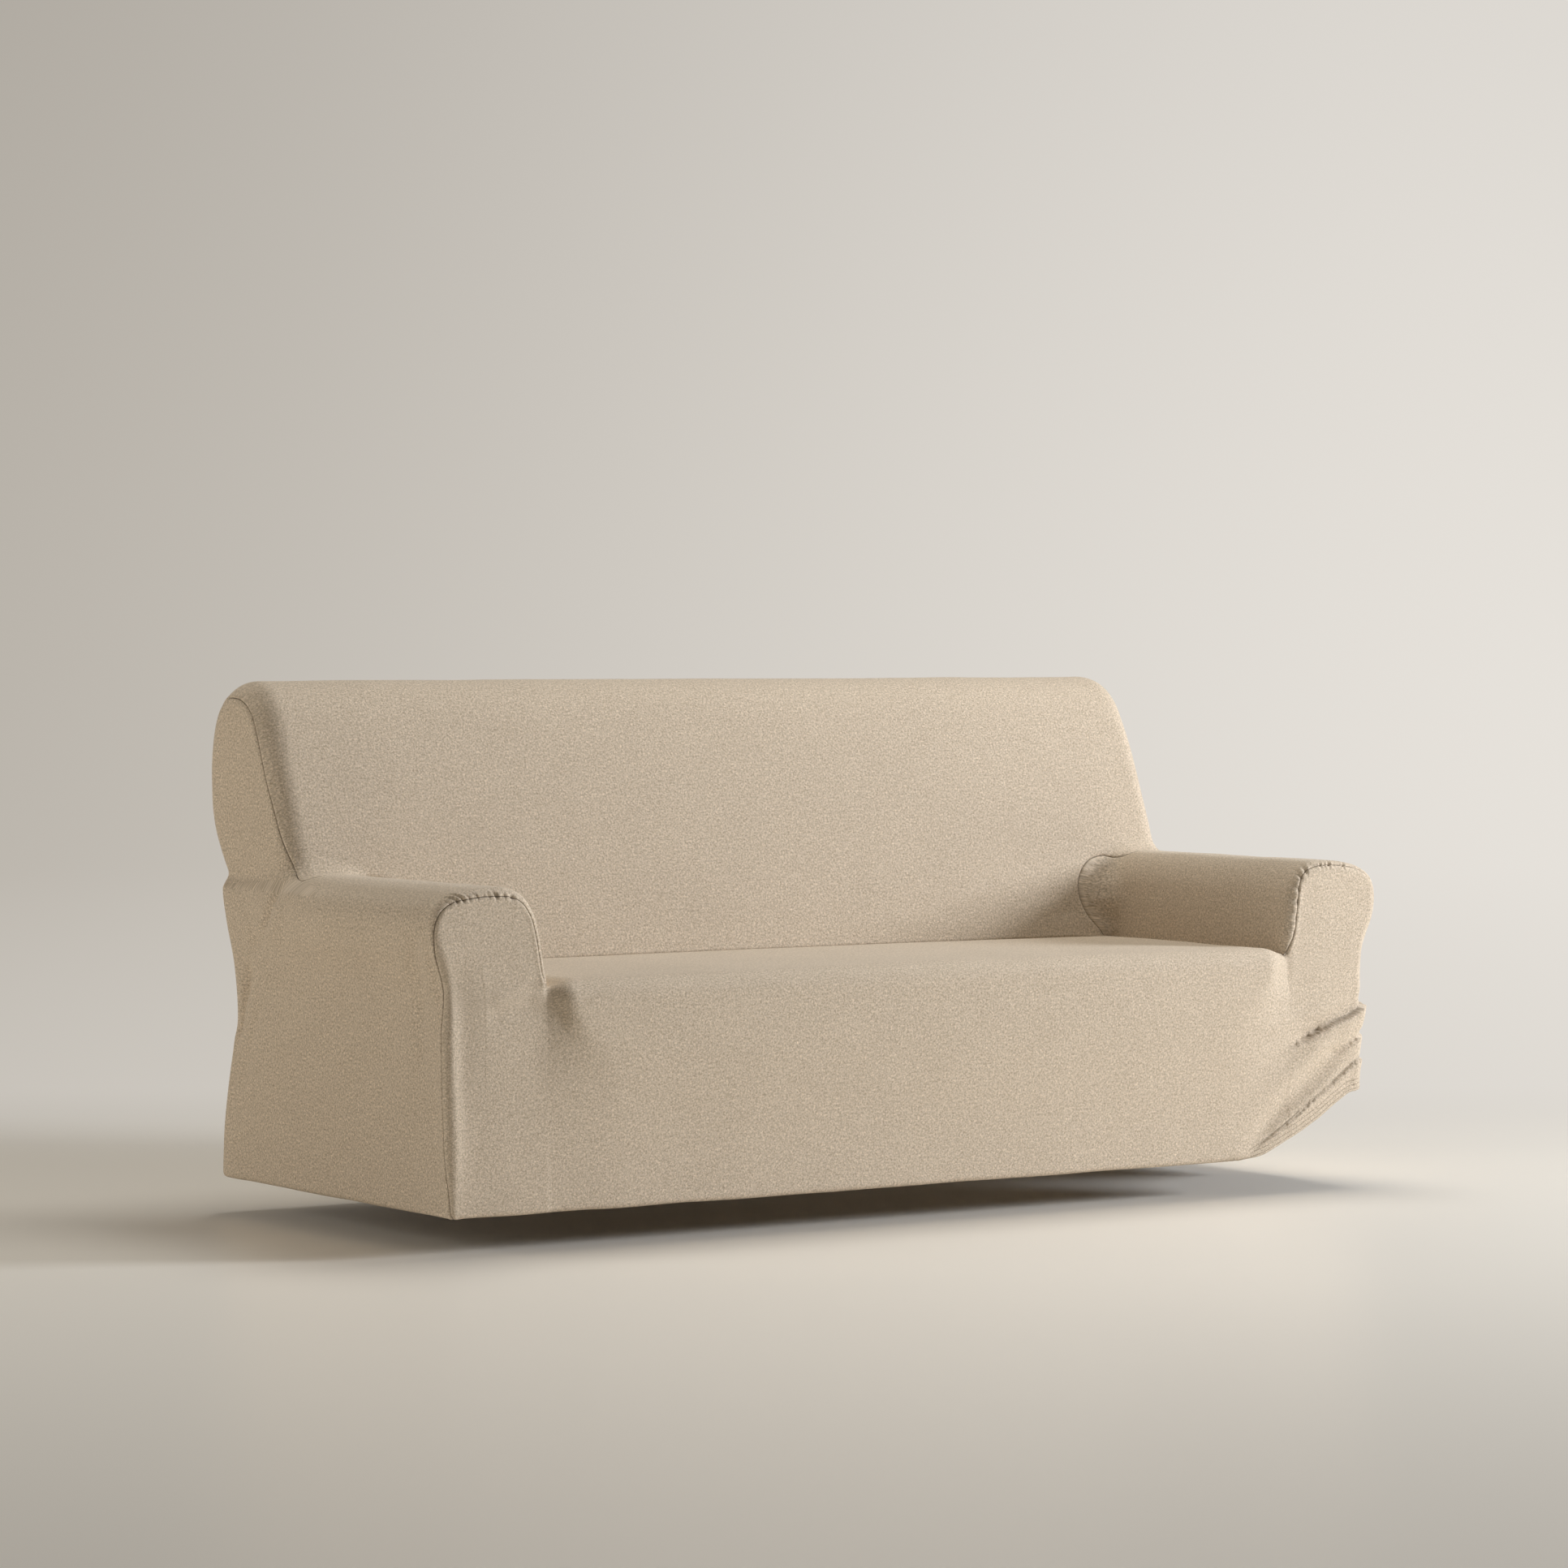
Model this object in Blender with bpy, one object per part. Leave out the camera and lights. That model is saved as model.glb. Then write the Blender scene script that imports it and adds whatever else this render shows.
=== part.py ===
"""Fitted stretch cover for a three-seat sofa, as worn: four knitted panels sewn
edge to edge, hollow and open underneath.

The cloth lies on one smooth shape, given by field(): two arms, a seat and a
raked back with rounded joins.  Seam lines are laid on that shape, each panel is
filled with a net of cells between its seams, folds are pushed out of it, and the
net is thickened inwards to the cloth's own 2 mm.
"""
import bpy
import numpy as np

# ---------------------------------------------------------------- sizes (m)
# x runs along the sofa from the flat outer side of the left arm, y back from
# the arm fronts, z up from the bottom edge; SHIFT carries that to the origin.
WIDTH = 1.931                # flat outer side to flat outer side of the arms
SHEET = 0.002                # thickness of the knitted cloth
SEAM_GAP = 0.0003            # between two panels at a seam
HEM_TURN = 0.038             # cloth turned in under the bottom edge
R_ARM_FRONT = 0.020          # rounding of the arm's front edge
R_REAR = 0.030               # rounding of the rear corners
R_BACK_SIDE = 0.042          # rounding of the back's side edges
R_BACK_TOP_EXTRA = 0.008     # a little more of it near the top
R_NOSE = 0.036               # roll at the front of the seat
R_BOTTOM = 0.010             # rounding of the bottom edge
R_CREASE = 0.005             # seat creases
R_ARM_BACK = 0.055           # stretched across the corner between arm and back
R_ARM_TOP_BACK = 0.024       # the same on top of the arm
WING_INSET = 0.017           # the back's sides stand inside the arms' sides
SEAT_LEVEL = 0.383
SEAT_CROWN = 0.003
SEAT_END_DROP = 0.013
SEAT_END_WIDTH = 0.070
SEAT_REAR_DROP = 0.005
NOSE_PROUD = 0.025           # seat front stands out from the arm fronts
NOSE_FOOT = 0.003            # and hardly at the bottom
LIFT_START = 1.585           # where the pulled-up hem leaves the bottom edge
LIFT_TOP = 0.119             # height of the hem at the front right corner
LIFT_DEPTH = 0.33            # how far back the right side is still pulled up
ORIGIN = np.array([WIDTH/2, 0.433, 0.0])    # middle of the open underside

# section of an arm seen from the front
ARM_SECTION = {              # (inboard of the flat side, height)
    "below":         (0.0000, -0.120), "bottom":        (0.0000, 0.000),
    "side low":      (-0.0010, 0.100), "side":          (-0.0025, 0.200),
    "side high":     (-0.0030, 0.290), "under scroll":  (-0.0030, 0.345),
    "scroll starts": (-0.0070, 0.378), "scroll in":     (-0.0170, 0.405),
    "scroll out":    (-0.0285, 0.430), "scroll widest": (-0.0345, 0.458),
    "scroll upper":  (-0.0335, 0.484), "shoulder":      (-0.0230, 0.507),
    "top outer":     (0.0000, 0.5235), "top rise":      (0.0360, 0.5335),
    "crest":         (0.0780, 0.5375), "top inner":     (0.1150, 0.5350),
    "inner bend":    (0.1430, 0.5220), "inner shoulder": (0.1630, 0.4950),
    "inner upper":   (0.1750, 0.4550), "inner middle":  (0.1820, 0.4100),
    "inner low":     (0.1860, 0.3600), "inner hidden":  (0.1880, 0.3000),
    "inner deep":    (0.1890, 0.1000), "inner below":   (0.1890, -0.120)}
# section of the back and the rear seen from the side
BACK_SECTION = {             # (behind the arm fronts, height)
    "face below":   (0.4700, -0.120), "face hidden":   (0.4900, 0.200),
    "face foot":    (0.5100, 0.330), "crease":         (0.5170, 0.380),
    "face low":     (0.5320, 0.430), "face":           (0.5550, 0.500),
    "face middle":  (0.5950, 0.610), "face high":      (0.6330, 0.710),
    "face top":     (0.6630, 0.780), "roll starts":    (0.6890, 0.826),
    "roll":         (0.7200, 0.853), "crest":          (0.7600, 0.8665),
    "crest rear":   (0.8000, 0.8650), "rear roll":     (0.8360, 0.8500),
    "rear shoulder": (0.8640, 0.8240), "rear top":     (0.8820, 0.787),
    "rear high":    (0.8895, 0.740), "rear upper":     (0.8900, 0.690),
    "rear bend":    (0.8870, 0.645), "rear tuck":      (0.8750, 0.602),
    "rear lean":    (0.8500, 0.558), "rear middle":    (0.8120, 0.505),
    "waist upper":  (0.7800, 0.435), "waist":          (0.7620, 0.365),
    "waist low":    (0.7570, 0.310), "flare":          (0.7670, 0.240),
    "flare low":    (0.7880, 0.165), "foot":           (0.8060, 0.085),
    "rear bottom":  (0.8110, 0.030), "rear below":     (0.8110, -0.120)}

# spacing of the net along each family of lines
HEM_STATIONS = np.array([0.000, 0.028, 0.048, 0.095, 0.150, 0.205, 0.260, 0.315, 0.365, 0.410])   # m from the hem
SIDE_STATIONS = np.array([0, .26, .52, .77, 1])
OVER_STATIONS = np.array([0, .12, .27, .43, .59, .74, .88, 1])
DEPTH_STATIONS = np.array([0, .030, .065, .14, .26, .40, .55, .70, .86, 1])
WING_STATIONS = np.array([0, .10, .30, .55, .78, .92, 1])
RISE_STATIONS = np.array([0, .14, .32, .52, .70, .86, 1])
HALF_WIDTH_STATIONS = np.array([0, .020, .050, .105, .19, .29, .395, .5])
WIDTH_STATIONS = np.r_[HALF_WIDTH_STATIONS, 1-HALF_WIDTH_STATIONS[-2::-1]]

# front seam: how far round the corner it runs, by height on the outer side
FRONT_SEAM_SIDE = np.array([  # (height, offset: + back along the side, - in on the front)
    (0.000, .003), (.030, .006), (.070, .010), (.150, .014), (.250, .016), (.340, .016), (.385, .012),
    (.420, .005), (.458, -.004), (.484, -.009), (.507, -.0125)])
FRONT_SEAM_OVER = {          # the same over the arm and down its inner side, by length along the arm's outline
    "left": np.array([(.515, -.0080), (.540, -.0085), (.578, -.0132), (.640, -.0150), (.725, -.0120), (.823, -.0100), (.853, -.0040)]),
    "right": np.array([(.515, -.0020), (.545, -.0035), (.590, -.0048), (.655, -.0056), (.680, -.0035), (.700, -.0045), (.720, -.0100),
                       (.740, -.0148), (.760, -.0173), (.785, -.0190), (.805, -.0190), (.825, -.0150), (.840, -.0075), (.853, -.0010)])}
# seam between side panel and back panel (left side): (x, y, z)
ARM_BACK_SEAM = np.array([   # from the seat crease up the corner and out over the arm
    (.193, .516, .3715), (.209, .516, .395), (.231, .518, .425), (.240, .528, .455), (.236, .542, .485), (.222, .553, .506),
    (.203, .557, .522), (.176, .553, .5325), (.140, .543, .5365), (.100, .533, .5378), (.060, .529, .535), (.019, .533, .5255)])
WING_FRONT_SEAM = np.array([  # up the front edge of the back's side
    (.019, .533, .5255), (.020, .550, .5385), (.0195, .573, .555), (.0195, .594, .575), (.0195, .613, .600), (.020, .628, .628),
    (.020, .645, .662), (.020, .663, .697), (.020, .681, .739), (.020, .700, .780), (.020, .716, .808), (.020, .738, .827)])
WING_TOP_SEAM = np.array([   # over the top of the back's side
    (.020, .738, .827), (.020, .757, .8345), (.020, .779, .8385), (.020, .801, .8395), (.020, .823, .8365), (.020, .845, .828), (.020, .864, .8125)])

# folds and troughs of the cloth: kind, breadth, height out of the cloth, line (x, y, z)
# trough/ridge: soft both ways; lap: the cloth under the line stands over the cloth above it
FOLDS = [
    ("left arm groove", "soft", .020, -.0055, [(-.008, .086, .515), (-.032, .058, .488), (-.034, .062, .450), (-.013, .090, .395), (-.002, .098, .328), (-.003, .086, .262), (-.002, .078, .190)]),
    ("right arm groove", "soft", .022, -.0050, [(1.941, .080, .512), (1.964, .062, .478), (1.955, .074, .420), (1.934, .092, .340)]),
    ("left junction fold", "soft", .013, -.0065, [(.016, .590, .540), (-.004, .588, .508), (-.010, .603, .478), (-.006, .628, .436)]),
    ("left junction swell", "soft", .020, .0035, [(-.012, .560, .500), (-.016, .570, .462), (-.010, .600, .418)]),
    ("left waist pinch", "soft", .014, -.0050, [(-.003, .652, .436), (-.002, .664, .418), (-.002, .680, .396)]),
    ("left waist tuck", "soft", .013, -.0026, [(-.001, .690, .352), (-.001, .700, .330), (-.001, .705, .318)]),
    ("left waist fold", "soft", .018, -.0075, [(-.002, .678, .400), (-.001, .705, .348), (-.001, .728, .290), (-.001, .742, .235)]),
    ("right junction fold", "soft", .014, -.0045, [(1.918, .592, .536), (1.937, .596, .500), (1.940, .616, .462)]),
    ("right waist fold", "soft", .020, -.0050, [(1.933, .690, .385), (1.932, .716, .330), (1.932, .735, .262)]),
    ("corner lap", "lap", .034, .0115, [(1.728, -.006, .196), (1.757, -.002, .202), (1.803, 0, .218), (1.853, 0, .2400), (1.891, 0, .2520), (1.924, .005, .267), (1.931, .030, .277), (1.931, .110, .292)]),
    ("corner fold", "lap", .020, .0035, [(1.815, 0, .168), (1.834, 0, .174), (1.880, 0, .190), (1.905, 0, .204), (1.926, .010, .214), (1.931, .050, .222)]),
    ("hem crease", "lap", .016, .0030, [(1.655, -.008, .008), (1.707, -.006, .038), (1.753, -.002, .063), (1.804, 0, .097), (1.863, 0, .134), (1.900, 0, .158), (1.926, .008, .172), (1.931, .060, .166), (1.931, .160, .120)]),
]


# ---------------------------------------------------------------- curves
def catmull(points, n):
    """smooth curve through points, n steps per span, little overshoot"""
    P = np.asarray(points, float)
    Q = np.vstack([2*P[0]-P[1], P, 2*P[-1]-P[-2]])
    t = (np.arange(n)/n)[:, None]
    out = []
    for i in range(1, len(Q)-2):
        p0, p1, p2, p3 = Q[i-1], Q[i], Q[i+1], Q[i+2]
        d0, d1, d2 = (max(np.linalg.norm(b-a), 1e-9) for a, b in ((p0, p1), (p1, p2), (p2, p3)))
        m1 = (p2-p1)*d0/(d0+d1)+(p1-p0)/d0*d1*d1/(d0+d1)
        m2 = (p3-p2)/d2*d1*d1/(d1+d2)+(p2-p1)*d2/(d1+d2)
        out.append((2*t**3-3*t**2+1)*p1+(t**3-2*t**2+t)*m1+(-2*t**3+3*t**2)*p2+(t**3-t**2)*m2)
    out.append(P[-1:])
    return np.vstack(out)


def run_length(path):
    return np.r_[0, np.cumsum(np.linalg.norm(np.diff(path, axis=0), axis=1))]


def at_fractions(path, fractions):
    d = run_length(path)
    f = np.asarray(fractions)*d[-1]
    return np.stack([np.interp(f, d, path[:, k]) for k in range(path.shape[1])], -1)


def split(stations, k):
    """every interval of a station list cut into k equal parts"""
    s = np.asarray(stations, float)
    return np.r_[np.stack([s[:-1]+(s[1:]-s[:-1])*i/k for i in range(k)], 1).ravel(), s[-1]]


def smooth(t):
    t = np.clip(t, 0, 1)
    return t*t*(3-2*t)


# ---------------------------------------------------------------- body under the cloth
def outline_distance(px, pz, outline):
    """signed distance to a closed outline, negative inside"""
    best = np.full(px.shape, 1e9)
    inside = np.zeros(px.shape, bool)
    for a, b in zip(outline, np.roll(outline, -1, axis=0)):
        e = b-a
        ll = e@e
        if ll < 1e-16:
            continue
        wx, wz = px-a[0], pz-a[1]
        t = np.clip((wx*e[0]+wz*e[1])/ll, 0, 1)
        best = np.minimum(best, (wx-t*e[0])**2+(wz-t*e[1])**2)
        if a[1] != b[1]:
            inside ^= ((a[1] > pz) != (b[1] > pz)) & (px < e[0]*(pz-a[1])/e[1]+a[0])
    d = np.sqrt(best)
    return np.where(inside, -d, d)


class Outline:
    """distance to an outline, worked out once on a 2 mm square net and blended"""

    def __init__(self, points, low, high, step=0.002):
        self.low, self.step = np.array(low), step
        n = np.ceil((np.array(high)-self.low)/step).astype(int)+1
        self.n = n
        X, Z = np.meshgrid(self.low[0]+np.arange(n[0])*step, self.low[1]+np.arange(n[1])*step, indexing="ij")
        self.v = outline_distance(X, Z, points)

    def __call__(self, x, z):
        u = np.clip((x-self.low[0])/self.step, 0, self.n[0]-1.001)
        w = np.clip((z-self.low[1])/self.step, 0, self.n[1]-1.001)
        i, j = u.astype(int), w.astype(int)
        fu, fw, v = u-i, w-j, self.v
        return (v[i, j]*(1-fu)+v[i+1, j]*fu)*(1-fw)+(v[i, j+1]*(1-fu)+v[i+1, j+1]*fu)*fw


ARM_CURVE = catmull(list(ARM_SECTION.values()), 5)
BACK_CURVE = catmull(list(BACK_SECTION.values()), 5)
ARM_SHAPE = Outline(ARM_CURVE, (-0.15, -0.10), (0.36, 0.72))
BACK_SHAPE = Outline(BACK_CURVE, (0.30, -0.10), (1.05, 1.05))
BACK_CREST = int(np.argmax(BACK_CURVE[:, 1]))
ARM_CREST = int(np.argmax(ARM_CURVE[:, 1]))


def rear_y(z):
    r = BACK_CURVE[BACK_CREST:][::-1]
    return np.interp(z, r[:, 1], r[:, 0])


def face_y(z):
    r = BACK_CURVE[:BACK_CREST+1]
    return np.interp(z, r[:, 1], r[:, 0])


def side_x(z):
    r = ARM_CURVE[:ARM_CREST+1]
    return np.interp(z, r[:, 1], r[:, 0])


def scroll_keep(y):
    """the scroll is full at the front and dies away towards the back's side"""
    return 1-0.85*smooth((y-0.36)/0.30)


def side_lean(y, z):
    """the rear of the side panel leans in to meet the back's side"""
    return WING_INSET*smooth((z-0.36)/0.19)*smooth((y-0.50)/0.14)


def cut_round(a, b, r):
    return np.minimum(-r, np.maximum(a, b))+np.sqrt(np.maximum(a+r, 0)**2+np.maximum(b+r, 0)**2)


def join_round(a, b, r):
    return np.maximum(r, np.minimum(a, b))-np.sqrt(np.maximum(r-a, 0)**2+np.maximum(r-b, 0)**2)


def arm_field(inboard, y, z):
    out = np.minimum(side_x(np.clip(z, 0, 0.507)), 0)
    w = smooth((0.06-inboard)/0.09)
    return ARM_SHAPE(inboard+(out*(1-scroll_keep(y))-side_lean(y, z))*w, z)


def seat_z(x, y):
    end = np.minimum(x, WIDTH-x)
    drop = SEAT_END_DROP*(1-smooth((end-0.180)/SEAT_END_WIDTH))**1.5
    rear = SEAT_REAR_DROP*(1-smooth((0.515-y)/0.07))
    crown = SEAT_CROWN*np.sin(np.pi*np.clip((end-0.18)/0.78, 0, 1)/2)
    return SEAT_LEVEL-drop-rear+crown


def nose_y(x, z):
    end = np.minimum(x, WIDTH-x)
    proud = NOSE_FOOT+(NOSE_PROUD-NOSE_FOOT)*smooth((z-0.06)/0.26)
    low = smooth((0.352-z)/0.150)
    return -proud*smooth((end-0.176+0.070*low)/(0.058+0.170*low))


def nose_radius(x):
    end = np.minimum(x, WIDTH-x)
    return R_NOSE*(0.45+0.55*smooth((end-0.185)/0.06))


def field(P):
    """signed distance (near enough) to the outside of the cloth"""
    x, y, z = P[..., 0], P[..., 1], P[..., 2]
    arms = np.minimum(arm_field(x, y, z), arm_field(WIDTH-x, y, z))
    arms = cut_round(arms, -y, R_ARM_FRONT)
    recess = 0.006*(1-smooth((np.minimum(x, WIDTH-x)-0.02)/0.09))
    base = cut_round((nose_y(x, z)+recess-y)*0.99, z-seat_z(x, y), nose_radius(x))
    base = np.maximum(base, np.maximum(0.02-x, x-(WIDTH-0.02)))
    low = join_round(arms, base, R_CREASE)
    low = cut_round(low, (y-rear_y(np.clip(z, 0, 0.80)))*0.93, R_REAR)
    back = cut_round(BACK_SHAPE(y, z), np.abs(x-WIDTH/2)-(WIDTH/2-WING_INSET), R_BACK_SIDE+R_BACK_TOP_EXTRA*smooth((z-0.70)/0.12))
    r = R_ARM_BACK+(R_ARM_TOP_BACK-R_ARM_BACK)*smooth((z-0.47)/0.055)
    r = R_CREASE+(r-R_CREASE)*smooth((z-0.385)/0.07)*(1-smooth((y-0.62)/0.09))
    return cut_round(join_round(low, back, r), -z, R_BOTTOM)


def slope(P, h):
    g = np.zeros_like(P)
    for k in range(3):
        e = np.zeros(3)
        e[k] = h
        g[..., k] = (field(P+e)-field(P-e))/(2*h)
    return g


def snap(P, steps=6):
    """moves points onto the outside of the cloth"""
    P = np.array(P, float)
    for _ in range(steps):
        f, g = field(P), slope(P, 4e-4)
        P = P-np.clip(f/np.maximum((g*g).sum(-1), 0.25), -0.03, 0.03)[..., None]*g
    return P


def outward(P):
    g = slope(P, 1.5e-3)
    return g/np.maximum(np.linalg.norm(g, axis=-1, keepdims=True), 1e-9)


def fold_height(P):
    """how far the folds lift the cloth off its smooth shape"""
    h = np.zeros(P.shape[:-1])
    for name, kind, breadth, height, line in FOLDS:
        L = catmull(line, 4)
        near = np.full(h.shape, 1e9)
        up = np.zeros(h.shape)
        along = np.zeros(h.shape)
        d = run_length(L)
        for i in range(len(L)-1):
            a, e = L[i], L[i+1]-L[i]
            t = np.clip(((P-a)@e)/(e@e), 0, 1)
            v = P-a-t[..., None]*e
            q = np.sqrt((v*v).sum(-1))
            m = q < near
            near = np.where(m, q, near)
            up = np.where(m, v[..., 2], up)
            along = np.where(m, d[i]+t*(d[i+1]-d[i]), along)
        ends = smooth(along/(0.30*d[-1]))*smooth((d[-1]-along)/(0.22*d[-1]))
        if kind == "soft":
            h += height*np.exp(-(near/breadth)**2)*ends
        else:
            s = np.where(up > 0, near, -near)
            step = smooth(0.5-s/(0.16*breadth))
            body = np.where(s < 0, np.exp(-(s/breadth)**2), 1)
            dip = -0.35*np.exp(-((s-0.35*breadth)/(0.35*breadth))**2)*np.where(s > 0, 1, 0)
            h += height*(step*body+dip)*ends
    return h


# ---------------------------------------------------------------- arm outline, measured along the cloth
OUTLINE = ARM_CURVE[5:][:len(ARM_CURVE[5:])-next(i for i, p in enumerate(ARM_CURVE[::-1]) if p[1] > 0.370)]
OUTLINE_L = run_length(OUTLINE)
_t = np.gradient(OUTLINE, OUTLINE_L, axis=0)
OUTLINE_IN = np.stack([_t[:, 1], -_t[:, 0]], -1)/np.linalg.norm(_t, axis=1, keepdims=True)
L_SHOULDER = OUTLINE_L[np.argmin(np.linalg.norm(OUTLINE-ARM_SECTION["shoulder"], axis=1))]
L_INNER = OUTLINE_L[np.argmin(np.linalg.norm(OUTLINE-ARM_SECTION["inner shoulder"], axis=1))]
L_END = OUTLINE_L[-1]
HEM_TOP = HEM_STATIONS[-1]
LIFT_LENGTH = HEM_TURN+LIFT_TOP


def outline_at(l):
    return np.stack([np.interp(l, OUTLINE_L, OUTLINE[:, k]) for k in range(2)], -1)


def front_seam_line(l, side):
    """the arm-front seam, l metres up the arm's outline"""
    o = outline_at(l)
    n = np.stack([np.interp(l, OUTLINE_L, OUTLINE_IN[:, k]) for k in range(2)], -1)
    n /= np.linalg.norm(n, axis=-1, keepdims=True)
    b = np.interp(o[..., 1], FRONT_SEAM_SIDE[:, 0], FRONT_SEAM_SIDE[:, 1])
    over = FRONT_SEAM_OVER[side]
    b = np.where(l <= L_SHOULDER, b+(over[0, 1]+.0125)*smooth((o[..., 1]-0.42)/0.06), np.interp(l, over[:, 0], over[:, 1]))
    inset = np.maximum(-b, 0)
    return np.stack([o[..., 0]+inset*n[..., 0], np.maximum(b, 0), o[..., 1]+inset*n[..., 1]], -1)


def lift_front(x):
    """cloth length between the unlifted hem and the pulled-up one, along the front"""
    t = np.clip((x-LIFT_START)/(WIDTH-LIFT_START), 0, 1)
    return LIFT_LENGTH*np.interp(t, [0, .08, .20, .33, .45, .58, .70, .80, .90, 1], [0, .06, .235, .275, .345, .44, .60, .74, .89, 1])


def lift_side(y):
    t = np.clip(1-y/LIFT_DEPTH, 0, 1)
    return LIFT_LENGTH*(0.30*t+0.70*smooth(t))


def rear_side_x(z):
    return WING_INSET*smooth((z-0.36)/0.19)


def mirrored(P):
    return np.stack([WIDTH-P[..., 0], P[..., 1], P[..., 2]], -1)


def blend_patch(bottom, top, left, right):
    """patch between four lines; rows run bottom to top"""
    u0, u1, v0, v1 = (run_length(p)/max(run_length(p)[-1], 1e-9) for p in (bottom, top, left, right))
    r = np.linspace(0, 1, len(left))[:, None]
    c = np.linspace(0, 1, len(bottom))[None, :]
    U = (u0[None]*(1-r)+u1[None]*r)[..., None]
    V = (v0[:, None]*(1-c)+v1[:, None]*c)[..., None]
    return (1-V)*bottom[None]+V*top[None]+(1-U)*left[:, None]+U*right[:, None] \
        - ((1-U)*(1-V)*bottom[0]+U*(1-V)*bottom[-1]+(1-U)*V*top[0]+U*V*top[-1])


class Net:
    """seam lines and panel patches of the whole cover; k cuts every cell k by k"""

    def __init__(self, k=1):
        self.k = k
        self.hem, self.low, self.over, self.depth, self.wing, self.rise, self.across = (
            split(s, k) for s in (HEM_STATIONS, SIDE_STATIONS, OVER_STATIONS, DEPTH_STATIONS, WING_STATIONS, RISE_STATIONS, WIDTH_STATIONS))
        self.nh, self.nl, self.no, self.nd, self.nw, self.nr, self.na = (
            len(s)-1 for s in (self.hem, self.low, self.over, self.depth, self.wing, self.rise, self.across))
        self.outline_rows = np.r_[(HEM_TOP-HEM_TURN)+(L_SHOULDER-HEM_TOP+HEM_TURN)*self.low]
        self.seams = {s: self.seam_lines(s) for s in ("left", "right")}
        self.cross_lines()
        self.patches = {}
        for s in ("left", "right"):
            self.patches.update(self.side_patches(s))
        self.patches.update(self.front_patches())
        self.patches.update(self.back_patches())

    def hem_rows(self, lift):
        return lift+(HEM_TOP-lift)*self.hem/HEM_TOP

    def seam_lines(self, side):
        """front seam hem..seat, back seam seat..hem, seat crease, shoulder line"""
        place = mirrored if side == "right" else (lambda P: P)
        a = self.hem_rows(LIFT_LENGTH if side == "right" else 0.0)
        foot = front_seam_line(np.maximum(a-HEM_TURN, 0), side)
        under = np.maximum(HEM_TURN-a, 0)[:, None]
        foot = foot+under*np.array([1, 1, 0])
        foot[under[:, 0] > 0, 1] = under[under[:, 0] > 0, 0]
        L1 = self.outline_rows
        L2 = L_SHOULDER+(L_INNER-L_SHOULDER)*self.over
        L3 = L_INNER+(L_END-L_INNER)*self.low
        front = np.concatenate([foot]+[front_seam_line(l[1:], side) for l in (L1, L2, L3)])
        inner = at_fractions(catmull(ARM_BACK_SEAM, 8), np.r_[self.low*.42, .42+.58*self.over[1:]])
        wing = at_fractions(catmull(WING_FRONT_SEAM, 8), self.rise)
        top = at_fractions(catmull(WING_TOP_SEAM, 8), self.wing)
        z = np.linspace(WING_TOP_SEAM[-1, 2], ARM_SECTION["shoulder"][1], 60)
        corner = np.stack([rear_side_x(z), rear_y(z), z], -1)
        w = smooth((z[0]-z)/0.04)[:, None]
        corner = corner*w+(1-w)*(top[-1]+corner-corner[0])
        upper = at_fractions(corner, self.rise)
        z = outline_at(L1)[::-1, 1]
        lower = np.stack([rear_side_x(z), rear_y(z), z], -1)
        ah = self.hem[::-1]
        zh, uh = np.maximum(ah-HEM_TURN, 0), np.maximum(HEM_TURN-ah, 0)
        foot = np.stack([rear_side_x(zh)+uh, rear_y(zh)-uh, zh], -1)
        back = np.concatenate([inner, wing[1:], top[1:], upper[1:], lower[1:], foot[1:]])
        G, E = front[-1], inner[0]
        y = G[1]+(E[1]-G[1])*self.depth
        crease = np.stack([np.interp(y, [0, .05, .44, .518], [G[0], .1865, .1865, E[0]]), y, seat_z(np.full_like(y, .1865), y)], -1)
        t = smooth((y-G[1])/0.03)
        crease[:, 2] = G[2]*(1-t)+crease[:, 2]*t
        i0 = self.nh+self.nl
        K, B, S = inner[-1], upper[-1], front[i0]
        y = S[1]+(K[1]-S[1])*self.depth
        t = smooth((y-0.38)/(K[1]-0.38))
        q = outline_at(L_SHOULDER)
        shoulder = np.stack([q[0]*scroll_keep(y)*(1-t)+K[0]*t, y, q[1]*(1-t)+K[2]*t], -1)
        t = self.wing[:, None]
        shoulder = np.concatenate([shoulder, (K*(1-t)+B*t)[1:]])
        lines = {"front": front, "back": back, "crease": crease, "shoulder": shoulder}
        lines = {n: snap(place(P), 8) for n, P in lines.items()}
        nb = self.nl+self.no
        lines["crease"][0], lines["crease"][-1] = lines["front"][-1], lines["back"][0]
        lines["shoulder"][0] = lines["front"][i0]
        lines["shoulder"][self.nd] = lines["back"][nb]
        lines["shoulder"][-1] = lines["back"][nb+2*self.nr+self.nw]
        return lines

    def cross_lines(self):
        """the roll at the front of the seat and the crease between seat and back"""
        L, R = self.seams["left"], self.seams["right"]
        g0, g1, e0, e1 = L["front"][-1], R["front"][-1], L["back"][0], R["back"][0]
        x = g0[0]+(g1[0]-g0[0])*self.across
        k = nose_radius(x)*0.29
        z = seat_z(x, np.zeros_like(x))-k
        nose = np.stack([x, nose_y(x, z)+k, z], -1)
        w = smooth((np.minimum(x, WIDTH-x)-.186)/.03)[:, None]
        nose[:, 1:] = nose[:, 1:]*w+np.where((x < WIDTH/2)[:, None], g0, g1)[:, 1:]*(1-w)
        self.nose = snap(nose, 8)
        self.nose[0], self.nose[-1] = g0, g1
        x = e0[0]+(e1[0]-e0[0])*self.across
        z = seat_z(x, np.full_like(x, .515))
        self.crease = snap(np.stack([x, face_y(z), z], -1), 8)
        self.crease[0], self.crease[-1] = e0, e1

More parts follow.
